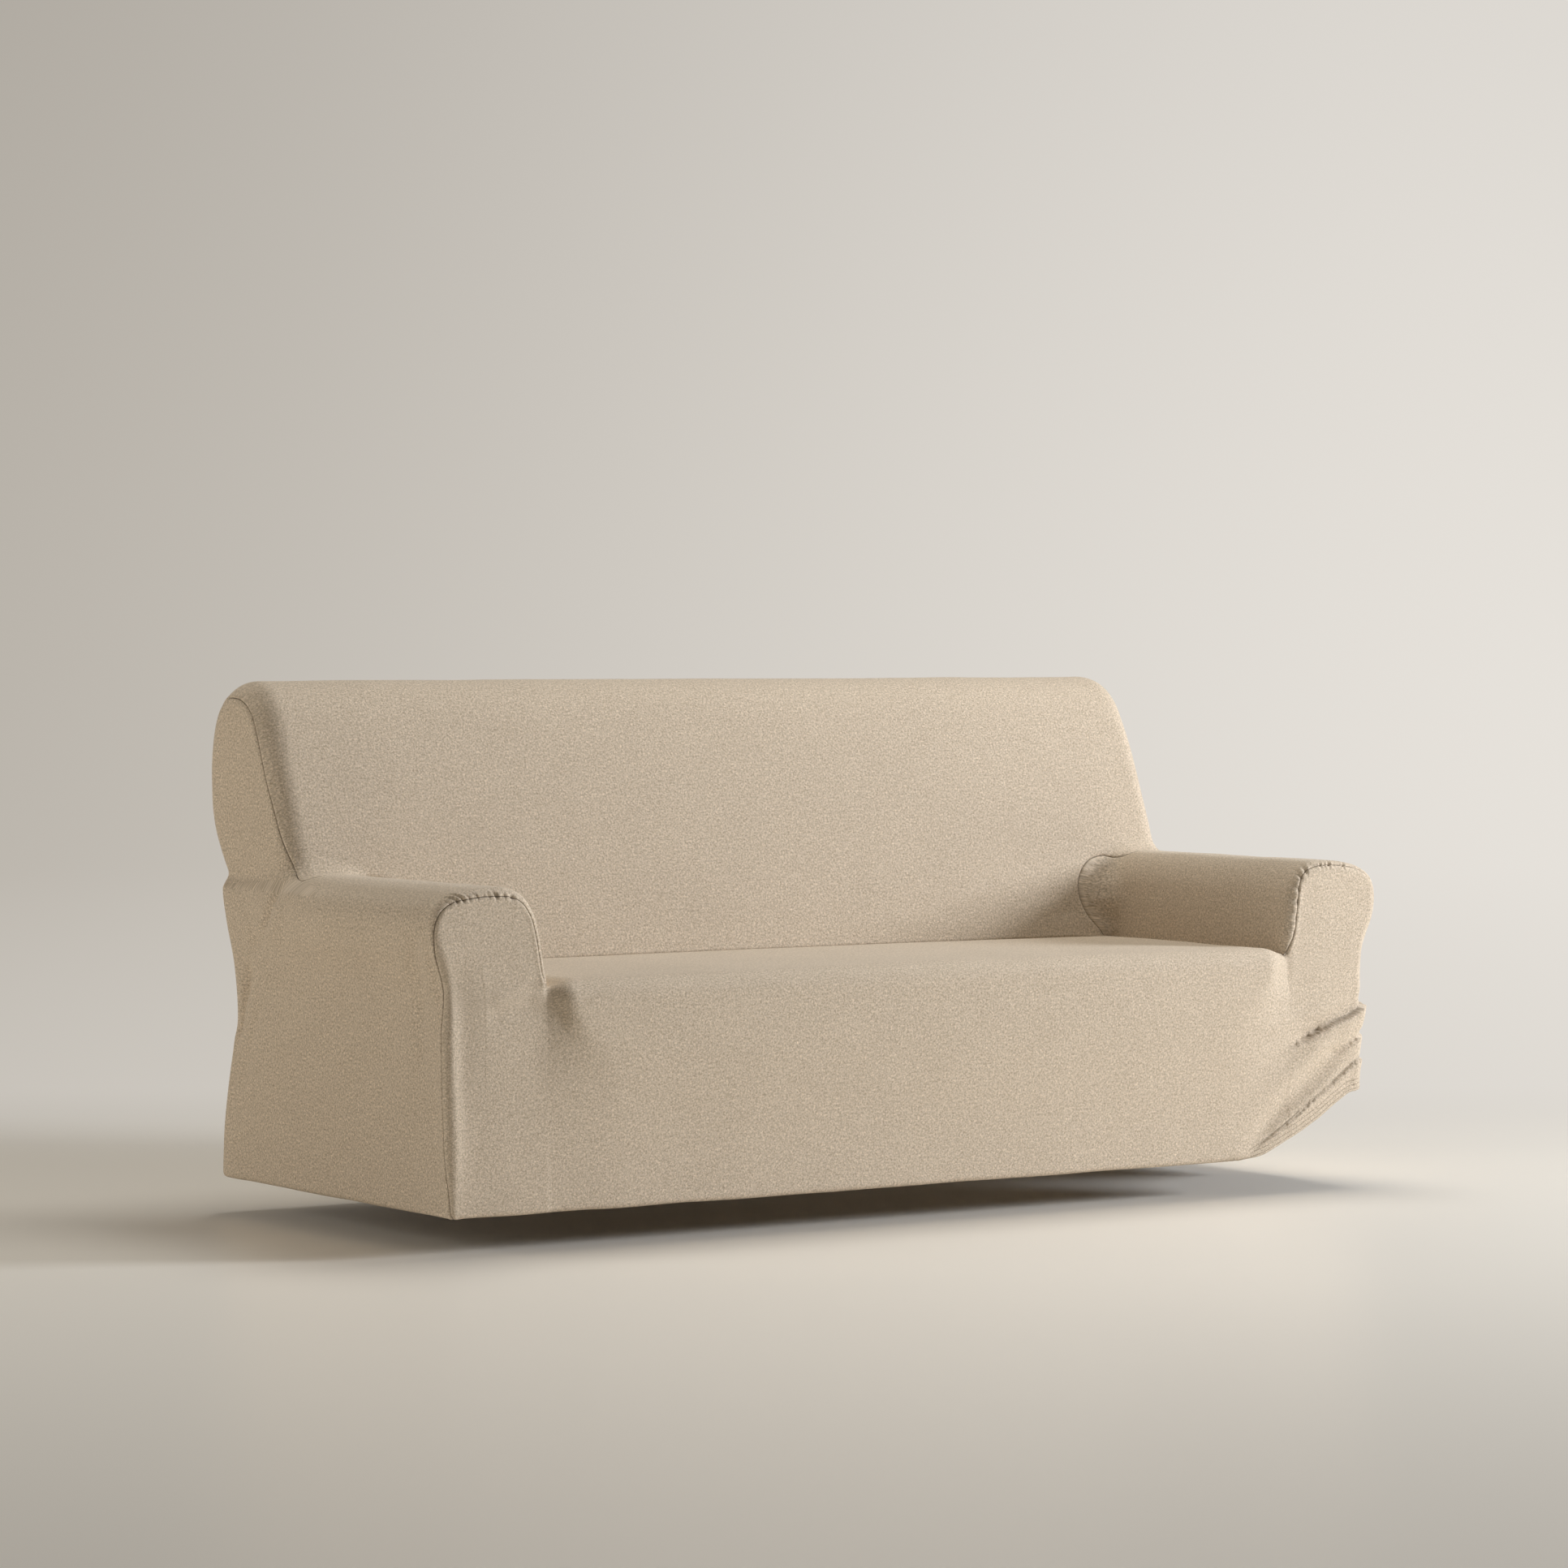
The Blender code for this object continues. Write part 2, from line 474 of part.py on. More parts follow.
    def side_patches(self, side):
        place = mirrored if side == "right" else (lambda P: P)
        front, back, shoulder, crease = (place(self.seams[side][n]) for n in ("front", "back", "shoulder", "crease"))
        na, nb, nd, nw = self.nh+self.nl, self.nl+self.no, self.nd, self.nw
        rear = back[nb+2*self.nr+nw:][::-1]
        near = front[:na+1]
        K = shoulder[nd]
        A = np.zeros((na+1, nd+nw+1, 3))
        for j in range(nd+nw+1):
            if j <= nd:
                y = near[:, 1]*(1-self.depth[j])+K[1]*self.depth[j]
            else:
                y = K[1]*(1-self.wing[j-nd])+rear[:, 1]*self.wing[j-nd]
            lift = lift_side(y[0]) if side == "right" else 0.0
            a = np.r_[self.hem_rows(lift), self.outline_rows[1:]+HEM_TURN]
            o = outline_at(np.maximum(a-HEM_TURN, 0))
            x = o[:, 0]*np.where(o[:, 0] < 0, scroll_keep(y), 1)+side_lean(y, o[:, 1])+np.maximum(HEM_TURN-a, 0)
            A[:, j] = np.stack([x, y, o[:, 1]], -1)
        r = np.linspace(0, 1, na+1)[:, None, None]
        c = np.linspace(0, 1, nd+nw+1)[None, :, None]
        A = A+(near[:, None]-A[:, :1])*smooth(1-c/0.25)+(rear[:, None]-A[:, -1:])*smooth((c-0.75)/0.25)
        A = A+(shoulder[None]-A[-1:])*smooth((r-0.6)/0.4)
        A[:, 0], A[:, -1], A[-1] = near, rear, shoulder
        # over the arm and down its inner side
        lb, rb = front[na:], back[:nb+1][::-1]
        ob = outline_at(np.r_[L_SHOULDER+(L_INNER-L_SHOULDER)*self.over, (L_INNER+(L_END-L_INNER)*self.low)[1:]])
        dx = np.maximum(rb[:, 0]-ob[:, 0], 0)*smooth(np.linspace(-1.2, 1.6, nb+1))
        bend = np.clip(R_ARM_BACK, 1e-3, None)
        turn = np.arccos(1-np.clip(dx/bend, 0, 1))
        y1 = rb[:, 1]-bend*np.sin(turn)
        B = np.zeros((nb+1, nd+1, 3))
        for j in range(nd+1):
            c = self.depth[j]
            s = c*((y1-lb[:, 1])+bend*turn)
            over = np.maximum(s-(y1-lb[:, 1]), 0)
            th = over/bend
            y = lb[:, 1]+np.minimum(s, y1-lb[:, 1])+bend*np.sin(th)
            x = ob[:, 0]*np.where(ob[:, 0] < 0, scroll_keep(y), 1)+bend*(1-np.cos(th))
            B[:, j] = np.stack([x, y, ob[:, 1]], -1)
        c = self.depth[None, :, None]
        r = np.linspace(0, 1, nb+1)[:, None, None]
        B = B+(lb[:, None]-B[:, :1])*np.clip(1-c/0.03, 0, 1)+(rb[:, None]-B[:, -1:])*smooth((c-0.60)/0.40)
        B = B+(shoulder[:nd+1][None]-B[:1])*(1-smooth(r/0.25))+(crease[None]-B[-1:])*smooth((r-0.75)/0.25)
        B[:, 0], B[:, -1], B[0], B[-1] = lb, rb, shoulder[:nd+1], crease
        # side of the back
        bottom, top = shoulder[nd:], back[nb+self.nr:nb+self.nr+nw+1]
        left, right = back[nb:nb+self.nr+1], back[nb+self.nr+nw:nb+2*self.nr+nw+1][::-1]
        c, r = self.wing[None, :, None], self.rise[:, None, None]
        C = (1-c)*left[:, None]+c*right[:, None]
        C = C+(1-r)*(bottom-C[0])[None]+r*(top-C[-1])[None]
        C[:, 0], C[:, -1] = left, right
        out = {}
        for n, G, free in (("outer", A, True), ("over", B, False), ("wing", C, False)):
            G = place(G)
            G[1:-1, 1:-1] = snap(G[1:-1, 1:-1])
            if free:
                G[0, 1:-1] = snap(G[0, 1:-1])
            out[side+" "+n] = G
        return out

    def front_patches(self):
        L, R = self.seams["left"]["front"], self.seams["right"]["front"]
        nh, no, na, nd, nl = self.nh, self.no, self.na, self.nd, self.nl
        xl, xr = L[-1, 0], R[-1, 0]
        A = np.zeros((nh+1, 2*no+na+1, 3))
        for j in range(2*no+na+1):
            if j <= no:
                x = L[:nh+1, 0]*(1-self.over[j])+xl*self.over[j]
            elif j <= no+na:
                x = np.full(nh+1, xl+(xr-xl)*self.across[j-no])
            else:
                c = 1-self.over[::-1][j-no-na]
                x = xr*(1-c)+R[:nh+1, 0]*c
            a = self.hem_rows(lift_front(x[0]))
            z = np.maximum(a-HEM_TURN, 0)
            if no <= j <= no+na:
                z = z*self.nose[j-no, 2]/(HEM_TOP-HEM_TURN)
            A[:, j] = np.stack([x, nose_y(x, z)+np.maximum(HEM_TURN-a, 0), z], -1)
        c = self.over[:, None]
        level = {}
        for n, S in (("left", L), ("right", R)):
            P = S[nh]*(1-c)+S[-1]*c
            P[:, 1] = 0
            P = snap(P)
            P[0], P[-1] = S[nh], S[-1]
            level[n] = P
        top = np.concatenate([level["left"], self.nose[1:], level["right"][::-1][1:]])
        w = np.zeros(A.shape[1])
        w[:no+1] = 1-self.over
        v = w[::-1]
        r = (self.hem/HEM_TOP)[:, None, None]
        A = A+(L[:nh+1][:, None]-A[:, :1])*w[None, :, None]+(R[:nh+1][:, None]-A[:, -1:])*v[None, :, None]
        A = A+(top[None]-A[-1:])*smooth((r-0.4)/0.6)
        A[:, 0], A[:, -1], A[-1] = L[:nh+1], R[:nh+1], top
        A[1:-1, 1:-1] = snap(A[1:-1, 1:-1])
        A[0, 1:-1] = snap(A[0, 1:-1])
        # seat
        cl, cr = self.seams["left"]["crease"], self.seams["right"]["crease"]
        c, u = self.depth[:, None, None], self.across[None, :]
        B = self.nose[None]*(1-c)+self.crease[None]*c
        B[..., 0] = cl[:, :1]*(1-u)+cr[:, :1]*u
        B[1:-1, :, 2] = seat_z(B[1:-1, :, 0], B[1:-1, :, 1])
        B[:, 0], B[:, -1], B[0], B[-1] = cl, cr, self.nose, self.crease
        B[1:-1, 1:-1] = snap(B[1:-1, 1:-1])
        out = {"front lower": A, "front seat": B}
        for n, S in (("left", L), ("right", R)):
            C = blend_patch(level[n], S[nh+nl:nh+nl+no+1], S[nh:nh+nl+1], S[nh+nl+no:][::-1])
            C[1:-1, 1:-1] = snap(C[1:-1, 1:-1])
            out["front "+n+" arm"] = C
        return out

    def back_patches(self):
        """inside back and rear: a middle patch and a strip at each end that starts on the arm"""
        i0 = int(np.argmin(np.abs(BACK_CURVE[:BACK_CREST, 1]-0.3785)))
        i1 = BACK_CREST+int(np.argmin(np.abs(BACK_CURVE[BACK_CREST:, 1])))
        path = BACK_CURVE[i0:i1+1]
        d = run_length(path)
        top = BACK_CREST-i0
        up = np.interp([0.508, 0.826], path[:top, 1], d[:top])
        down = np.interp([0.507, 0.824], path[top:, 1][::-1], d[top:][::-1])[::-1]
        spans = ((0, up[0], self.low), (up[0], up[1], self.rise), (up[1], down[0], self.wing), (down[0], down[1], self.rise))
        s = np.concatenate([[0]]+[(p+(q-p)*t)[1:] for p, q, t in spans])
        Q = np.stack([np.interp(s, d, path[:, 0]), np.interp(s, d, path[:, 1])], -1)
        z = outline_at(self.outline_rows)[::-1, 1]
        ah = self.hem[::-1]
        zh, uh = np.maximum(ah-HEM_TURN, 0), np.maximum(HEM_TURN-ah, 0)
        Q = np.concatenate([Q, np.stack([rear_y(z), z], -1)[1:], np.stack([rear_y(zh)-uh, zh], -1)[1:]])
        nl, nb = self.nl, self.nl+self.no
        out, edges = {}, []
        for side in ("left", "right"):
            place = mirrored if side == "right" else (lambda P: P)
            S = place(self.seams[side]["back"])
            T = S[nl]
            line = np.column_stack([np.full(len(Q)-nl, T[0]), Q[nl:]])
            w = smooth(np.arange(len(line))/(3*self.k))[:, None]
            line[:, 0] += 0.012*w[:, 0]
            line[:len(w)] = (T+line-line[0])*(1-w)+line*w
            line[1:] = snap(line[1:])
            line[0] = T
            bottom, left = S[nl:nb+1][::-1], S[nb:]
            end = left[-1]+(line[-1]-left[-1])*(1-self.over[::-1])[:, None]
            G = blend_patch(bottom, end, left, line)
            G[1:, 1:-1] = snap(G[1:, 1:-1])
            G[:, 0], G[:, -1], G[0] = left, line, bottom
            out["back "+side] = place(G)
            edges.append(place(np.concatenate([S[:nl+1], line[1:]])))
        A, B = edges
        u = self.across[None, :]
        w = smooth(np.minimum(u, 1-u)/0.06)[..., None]
        G = np.zeros((len(Q), self.na+1, 3))
        G[..., 0] = A[:, :1]*(1-u)+B[:, :1]*u
        G[..., 1:] = (A[:, None, 1:]*(1-u[..., None])+B[:, None, 1:]*u[..., None])*(1-w)+Q[:, None]*w
        G[0], G[:, 0], G[:, -1] = self.crease, A, B
        G[1:, 1:-1] = snap(G[1:, 1:-1])
        out["back middle"] = G
        return out


# ---------------------------------------------------------------- panels
PANELS = {                   # panel: patches it is made of
    "left_side_panel": ("left outer", "left over", "left wing"),
    "right_side_panel": ("right outer", "right over", "right wing"),
    "seat_front_panel": ("front lower", "front seat", "front left arm", "front right arm"),
    "back_panel": ("back middle", "back left", "back right")}
CLOTH_COLOUR = {             # panel: (red, green, blue), linear
    "left_side_panel": (0.50, 0.415, 0.300), "right_side_panel": (0.50, 0.415, 0.300),
    "seat_front_panel": (0.52, 0.435, 0.315), "back_panel": (0.52, 0.435, 0.315)}
CLOTH_ROUGHNESS = 0.92


def welded(net):
    """one list of points for the whole cover, and each patch's cells facing out"""
    points, cells, at = [], {}, 0
    for name, G in net.patches.items():
        i = np.arange(G[..., 0].size).reshape(G.shape[:2])+at
        at += i.size
        points.append(G.reshape(-1, 3))
        q = np.stack([i[:-1, :-1], i[:-1, 1:], i[1:, 1:], i[1:, :-1]], -1).reshape(-1, 4)
        p = np.concatenate(points)[q]
        n = np.cross(p[:, 2]-p[:, 0], p[:, 3]-p[:, 1])
        if np.median((n*outward(p.mean(1))).sum(-1)) < 0:
            q = q[:, ::-1]
        cells[name] = q
    points = np.concatenate(points)
    _, first, same = np.unique(np.round(points*1e6).astype(np.int64), axis=0, return_index=True, return_inverse=True)
    same = same.reshape(-1)
    return points[first], {n: same[q] for n, q in cells.items()}


def triangles(points, q):
    """each cell cut along its shorter diagonal"""
    p = points[q]
    short = np.linalg.norm(p[:, 0]-p[:, 2], axis=1) <= np.linalg.norm(p[:, 1]-p[:, 3], axis=1)
    a = np.where(short[:, None], q[:, [0, 1, 2]], q[:, [0, 1, 3]])
    b = np.where(short[:, None], q[:, [0, 2, 3]], q[:, [1, 2, 3]])
    return np.concatenate([a, b])


def face_normals(points, tris):
    n = np.cross(points[tris[:, 1]]-points[tris[:, 0]], points[tris[:, 2]]-points[tris[:, 0]])
    return n/np.maximum(np.linalg.norm(n, axis=1, keepdims=True), 1e-15)


def sheet_normals(points, tris):
    """outward normals, stretched where the sheet bends so that its thickness stays true"""
    n = face_normals(points, tris)
    total = np.zeros_like(points)
    weight = np.zeros(len(points))
    angles = []
    for k in range(3):
        a = points[tris[:, (k+1) % 3]]-points[tris[:, k]]
        b = points[tris[:, (k+2) % 3]]-points[tris[:, k]]
        c = (a*b).sum(1)/np.maximum(np.linalg.norm(a, axis=1)*np.linalg.norm(b, axis=1), 1e-15)
        angles.append(np.arccos(np.clip(c, -1, 1)))
        np.add.at(total, tris[:, k], n*angles[k][:, None])
    total /= np.maximum(np.linalg.norm(total, axis=1, keepdims=True), 1e-15)
    lean = np.zeros(len(points))
    for k in range(3):
        np.add.at(lean, tris[:, k], (n*total[tris[:, k]]).sum(1)*angles[k])
        np.add.at(weight, tris[:, k], angles[k])
    return total/np.clip(lean/np.maximum(weight, 1e-9), 0.62, 1)[:, None]


def border(tris):
    """edges of a panel that only one of its triangles uses, in that triangle's direction"""
    e = np.concatenate([tris[:, [0, 1]], tris[:, [1, 2]], tris[:, [2, 0]]])
    owner = np.tile(np.arange(len(tris)), 3)
    key = np.sort(e, axis=1)
    _, inverse, count = np.unique(key, axis=0, return_inverse=True, return_counts=True)
    once = count[inverse.reshape(-1)] == 1
    return e[once], owner[once]


def seam_pull(points, panel_tris):
    """for each panel, the move that opens half the seam gap along its sewn edges"""
    hem = {tuple(e) for e in np.sort(border(np.concatenate(list(panel_tris.values())))[0], axis=1)}
    inward = {}
    for name, tris in panel_tris.items():
        e, owner = border(tris)
        n = face_normals(points, tris)[owner]
        d = points[e[:, 1]]-points[e[:, 0]]
        d /= np.linalg.norm(d, axis=1, keepdims=True)
        inside = np.cross(n, d)
        sewn = np.array([tuple(k) not in hem for k in np.sort(e, axis=1)])
        vectors = {}
        for (a, b), v, s in zip(e, inside, sewn):
            if s:
                vectors.setdefault(int(a), []).append(v)
                vectors.setdefault(int(b), []).append(v)
        inward[name] = vectors
    moves = {}
    for name, vectors in inward.items():
        move = np.zeros_like(points)
        for i, own in vectors.items():
            others = [v for m, w in inward.items() if m != name for v in w.get(i, [])]
            mean = sum(own)/len(own)
            mean /= max(np.linalg.norm(mean), 1e-9)
            spread = max(min(float(v@mean) for v in own), 0.35)
            open_ = min([np.sqrt(max((1-float(mean@o))/2, 0.0)) for o in others] or [1.0])
            move[i] = mean*SEAM_GAP/2*1.08/(spread*max(open_, 0.45))
        moves[name] = move
    return moves


def cover_solids(net):
    """closed sheet for every panel: (points, triangles)"""
    points, cells = welded(net)
    panel_tris = {p: np.concatenate([triangles(points, cells[c]) for c in patches]) for p, patches in PANELS.items()}
    points = points+fold_height(points)[:, None]*outward(points)
    normal = sheet_normals(points, np.concatenate(list(panel_tris.values())))
    moves = seam_pull(points, panel_tris)
    solids = {}
    for name, tris in panel_tris.items():
        used, local = np.unique(tris, return_inverse=True)
        local = local.reshape(-1, 3)
        n = len(used)
        outer = points[used]+moves[name][used]
        inner = outer-SHEET*normal[used]
        e, _ = border(local)
        a, b = e[:, 0], e[:, 1]
        side = np.where((a < b)[:, None], np.stack([b, a, a+n, b, a+n, b+n], 1), np.stack([b, a, b+n, a, a+n, b+n], 1)).reshape(-1, 3)
        solids[name] = (np.concatenate([outer, inner])-ORIGIN, np.concatenate([local, local[:, ::-1]+n, side]))
    return solids


def cloth_material(name, colour):
    material = bpy.data.materials.new(name)
    material.use_nodes = True
    shader = material.node_tree.nodes["Principled BSDF"]
    shader.inputs["Base Color"].default_value = (*colour, 1.0)
    shader.inputs["Roughness"].default_value = CLOTH_ROUGHNESS
    shader.inputs["Metallic"].default_value = 0.0
    material.diffuse_color = (*colour, 1.0)
    return material


def main():
    for old in list(bpy.data.objects):
        bpy.data.objects.remove(old, do_unlink=True)
    cover = bpy.data.objects.new("slipcover", None)
    bpy.context.scene.collection.objects.link(cover)
    for name, (points, tris) in cover_solids(Net(1)).items():
        mesh = bpy.data.meshes.new(name)
        mesh.from_pydata(points.tolist(), [], tris.tolist())
        mesh.update()
        mesh.materials.append(cloth_material(name+"_cloth", CLOTH_COLOUR[name]))
        mesh.shade_smooth()
        mesh.set_sharp_from_angle(angle=np.radians(40.0))
        panel = bpy.data.objects.new(name, mesh)
        panel.parent = cover
        bpy.context.scene.collection.objects.link(panel)


main()
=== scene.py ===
import bpy
import numpy as np
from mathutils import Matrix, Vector


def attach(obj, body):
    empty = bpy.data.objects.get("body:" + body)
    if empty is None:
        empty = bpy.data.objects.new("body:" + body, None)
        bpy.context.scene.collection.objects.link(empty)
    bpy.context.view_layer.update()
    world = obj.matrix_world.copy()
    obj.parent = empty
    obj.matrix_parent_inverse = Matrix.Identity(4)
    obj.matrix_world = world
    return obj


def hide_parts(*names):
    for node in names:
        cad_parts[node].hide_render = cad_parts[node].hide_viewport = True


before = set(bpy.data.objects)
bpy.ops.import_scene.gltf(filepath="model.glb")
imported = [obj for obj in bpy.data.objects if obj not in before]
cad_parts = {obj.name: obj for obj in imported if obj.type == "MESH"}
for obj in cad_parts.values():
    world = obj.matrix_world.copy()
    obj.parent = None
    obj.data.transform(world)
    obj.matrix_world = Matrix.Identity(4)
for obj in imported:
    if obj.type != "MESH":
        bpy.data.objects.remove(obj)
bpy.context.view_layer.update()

# camera, in the cover's frame
CAMERA = (-5.03697515, -7.4141804, 0.937)
YAW, PITCH = 34.07, 1.6366           # degrees, clockwise from +Y and down
LENS = 36.0*6160/1932                # mm on a 36 mm sensor
FLOOR = -0.063

# ---------------------------------------------------------------- sizes (m)
# x runs along the sofa from the flat outer side of the left arm, y back from
# the arm fronts, z up from the bottom edge; SHIFT carries that to the origin.
WIDTH = 1.931                # flat outer side to flat outer side of the arms
SHEET = 0.002                # thickness of the knitted cloth
SEAM_GAP = 0.0003            # between two panels at a seam
HEM_TURN = 0.038             # cloth turned in under the bottom edge
R_ARM_FRONT = 0.020          # rounding of the arm's front edge
R_REAR = 0.030               # rounding of the rear corners
R_BACK_SIDE = 0.042          # rounding of the back's side edges
R_BACK_TOP_EXTRA = 0.008     # a little more of it near the top
R_NOSE = 0.036               # roll at the front of the seat
R_BOTTOM = 0.010             # rounding of the bottom edge
R_CREASE = 0.005             # seat creases
R_ARM_BACK = 0.055           # stretched across the corner between arm and back
R_ARM_TOP_BACK = 0.024       # the same on top of the arm
WING_INSET = 0.017           # the back's sides stand inside the arms' sides
SEAT_LEVEL = 0.383
SEAT_CROWN = 0.003
SEAT_END_DROP = 0.013
SEAT_END_WIDTH = 0.070
SEAT_REAR_DROP = 0.005
NOSE_PROUD = 0.025           # seat front stands out from the arm fronts
NOSE_FOOT = 0.003            # and hardly at the bottom
LIFT_START = 1.585           # where the pulled-up hem leaves the bottom edge
LIFT_TOP = 0.119             # height of the hem at the front right corner
LIFT_DEPTH = 0.33            # how far back the right side is still pulled up
ORIGIN = np.array([WIDTH/2, 0.433, 0.0])    # middle of the open underside

# section of an arm seen from the front
ARM_SECTION = {              # (inboard of the flat side, height)
    "below":         (0.0000, -0.120), "bottom":        (0.0000, 0.000),
    "side low":      (-0.0010, 0.100), "side":          (-0.0025, 0.200),
    "side high":     (-0.0030, 0.290), "under scroll":  (-0.0030, 0.345),
    "scroll starts": (-0.0070, 0.378), "scroll in":     (-0.0170, 0.405),
    "scroll out":    (-0.0285, 0.430), "scroll widest": (-0.0345, 0.458),
    "scroll upper":  (-0.0335, 0.484), "shoulder":      (-0.0230, 0.507),
    "top outer":     (0.0000, 0.5235), "top rise":      (0.0360, 0.5335),
    "crest":         (0.0780, 0.5375), "top inner":     (0.1150, 0.5350),
    "inner bend":    (0.1430, 0.5220), "inner shoulder": (0.1630, 0.4950),
    "inner upper":   (0.1750, 0.4550), "inner middle":  (0.1820, 0.4100),
    "inner low":     (0.1860, 0.3600), "inner hidden":  (0.1880, 0.3000),
    "inner deep":    (0.1890, 0.1000), "inner below":   (0.1890, -0.120)}
# section of the back and the rear seen from the side
BACK_SECTION = {             # (behind the arm fronts, height)
    "face below":   (0.4700, -0.120), "face hidden":   (0.4900, 0.200),
    "face foot":    (0.5100, 0.330), "crease":         (0.5170, 0.380),
    "face low":     (0.5320, 0.430), "face":           (0.5550, 0.500),
    "face middle":  (0.5950, 0.610), "face high":      (0.6330, 0.710),
    "face top":     (0.6630, 0.780), "roll starts":    (0.6890, 0.826),
    "roll":         (0.7200, 0.853), "crest":          (0.7600, 0.8665),
    "crest rear":   (0.8000, 0.8650), "rear roll":     (0.8360, 0.8500),
    "rear shoulder": (0.8640, 0.8240), "rear top":     (0.8820, 0.787),
    "rear high":    (0.8895, 0.740), "rear upper":     (0.8900, 0.690),
    "rear bend":    (0.8870, 0.645), "rear tuck":      (0.8750, 0.602),
    "rear lean":    (0.8500, 0.558), "rear middle":    (0.8120, 0.505),
    "waist upper":  (0.7800, 0.435), "waist":          (0.7620, 0.365),
    "waist low":    (0.7570, 0.310), "flare":          (0.7670, 0.240),
    "flare low":    (0.7880, 0.165), "foot":           (0.8060, 0.085),
    "rear bottom":  (0.8110, 0.030), "rear below":     (0.8110, -0.120)}

# spacing of the net along each family of lines
HEM_STATIONS = np.array([0.000, 0.028, 0.048, 0.095, 0.150, 0.205, 0.260, 0.315, 0.365, 0.410])   # m from the hem
SIDE_STATIONS = np.array([0, .26, .52, .77, 1])
OVER_STATIONS = np.interp(np.arange(22)/3, np.arange(8), [0, .12, .27, .43, .59, .74, .88, 1])   # close together, for the gathers
DEPTH_STATIONS = np.array([0, .030, .065, .14, .26, .40, .55, .70, .86, 1])
WING_STATIONS = np.array([0, .10, .30, .55, .78, .92, 1])
RISE_STATIONS = np.array([0, .14, .32, .52, .70, .86, 1])
HALF_WIDTH_STATIONS = np.array([0, .020, .050, .105, .19, .29, .395, .5])
WIDTH_STATIONS = np.r_[HALF_WIDTH_STATIONS, 1-HALF_WIDTH_STATIONS[-2::-1]]

# front seam: how far round the corner it runs, by height on the outer side
FRONT_SEAM_SIDE = np.array([  # (height, offset: + back along the side, - in on the front)
    (0.000, .003), (.030, .006), (.070, .009), (.150, .012), (.250, .016), (.340, .018), (.385, .016),
    (.420, .009), (.458, -.004), (.484, -.009), (.507, -.0125)])
FRONT_SEAM_OVER = {          # the same over the arm and down its inner side, by length along the arm's outline
    "left": np.array([(.515, -.0080), (.540, -.0085), (.578, -.0132), (.640, -.0150), (.725, -.0120), (.823, -.0100), (.853, -.0040)]),
    "right": np.array([(.515, -.0020), (.545, -.0035), (.590, -.0048), (.655, -.0056), (.680, -.0035), (.700, -.0045), (.720, -.0100),
                       (.740, -.0148), (.760, -.0173), (.785, -.0190), (.805, -.0190), (.825, -.0150), (.840, -.0075), (.853, -.0010)])}
# seam between side panel and back panel (left side): (x, y, z)
ARM_BACK_SEAM = np.array([   # from the seat crease up the corner and out over the arm
    (.193, .516, .3715), (.209, .516, .395), (.231, .518, .425), (.240, .528, .455), (.236, .542, .485), (.222, .553, .506),
    (.203, .557, .522), (.176, .553, .5325), (.140, .543, .5365), (.100, .533, .5378), (.060, .529, .535), (.019, .533, .5255)])
WING_FRONT_SEAM = np.array([  # up the front edge of the back's side
    (.019, .533, .5255), (.020, .550, .5385), (.0195, .573, .555), (.0195, .594, .575), (.0195, .613, .600), (.020, .628, .628),
    (.020, .645, .662), (.020, .663, .697), (.020, .681, .739), (.020, .700, .780), (.020, .716, .808), (.020, .738, .827)])
WING_TOP_SEAM = np.array([   # over the top of the back's side
    (.020, .738, .827), (.020, .757, .8345), (.020, .779, .8385), (.020, .801, .8395), (.020, .823, .8365), (.020, .845, .828), (.020, .864, .8125)])

# folds and troughs of the cloth: kind, breadth, height out of the cloth, line (x, y, z)
# trough/ridge: soft both ways; lap: the cloth under the line stands over the cloth above it
FOLDS = [
    ("left arm groove", "soft", .020, -.0055, [(-.008, .086, .515), (-.032, .058, .488), (-.034, .062, .450), (-.013, .090, .395), (-.002, .098, .328), (-.003, .086, .262), (-.002, .078, .190)]),
    ("right arm groove", "soft", .022, -.0050, [(1.941, .080, .512), (1.964, .062, .478), (1.955, .074, .420), (1.934, .092, .340)]),
    ("left junction fold", "soft", .013, -.0065, [(.016, .590, .540), (-.004, .588, .508), (-.010, .603, .478), (-.006, .628, .436)]),
    ("left junction swell", "soft", .020, .0035, [(-.012, .560, .500), (-.016, .570, .462), (-.010, .600, .418)]),
    ("left waist pinch", "soft", .014, -.0050, [(-.003, .652, .436), (-.002, .664, .418), (-.002, .680, .396)]),
    ("left waist tuck", "soft", .013, -.0026, [(-.001, .690, .352), (-.001, .700, .330), (-.001, .705, .318)]),
    ("left waist fold", "soft", .018, -.0075, [(-.002, .678, .400), (-.001, .705, .348), (-.001, .728, .290), (-.001, .742, .235)]),
    ("right junction fold", "soft", .014, -.0045, [(1.918, .592, .536), (1.937, .596, .500), (1.940, .616, .462)]),
    ("right waist fold", "soft", .020, -.0050, [(1.933, .690, .385), (1.932, .716, .330), (1.932, .735, .262)]),
    ("corner lap", "lap", .034, .0095, [(1.728, -.006, .196), (1.757, -.002, .202), (1.803, 0, .218), (1.853, 0, .2400), (1.891, 0, .2520), (1.924, .005, .267), (1.931, .030, .277), (1.931, .110, .292)]),
    ("corner fold", "lap", .020, .0035, [(1.815, 0, .168), (1.834, 0, .174), (1.880, 0, .190), (1.905, 0, .204), (1.926, .010, .214), (1.931, .050, .222)]),
    ("hem crease", "lap", .016, .0030, [(1.655, -.008, .008), (1.707, -.006, .038), (1.753, -.002, .063), (1.804, 0, .097), (1.863, 0, .134), (1.900, 0, .158), (1.926, .008, .172), (1.931, .060, .166), (1.931, .160, .120)]),
]


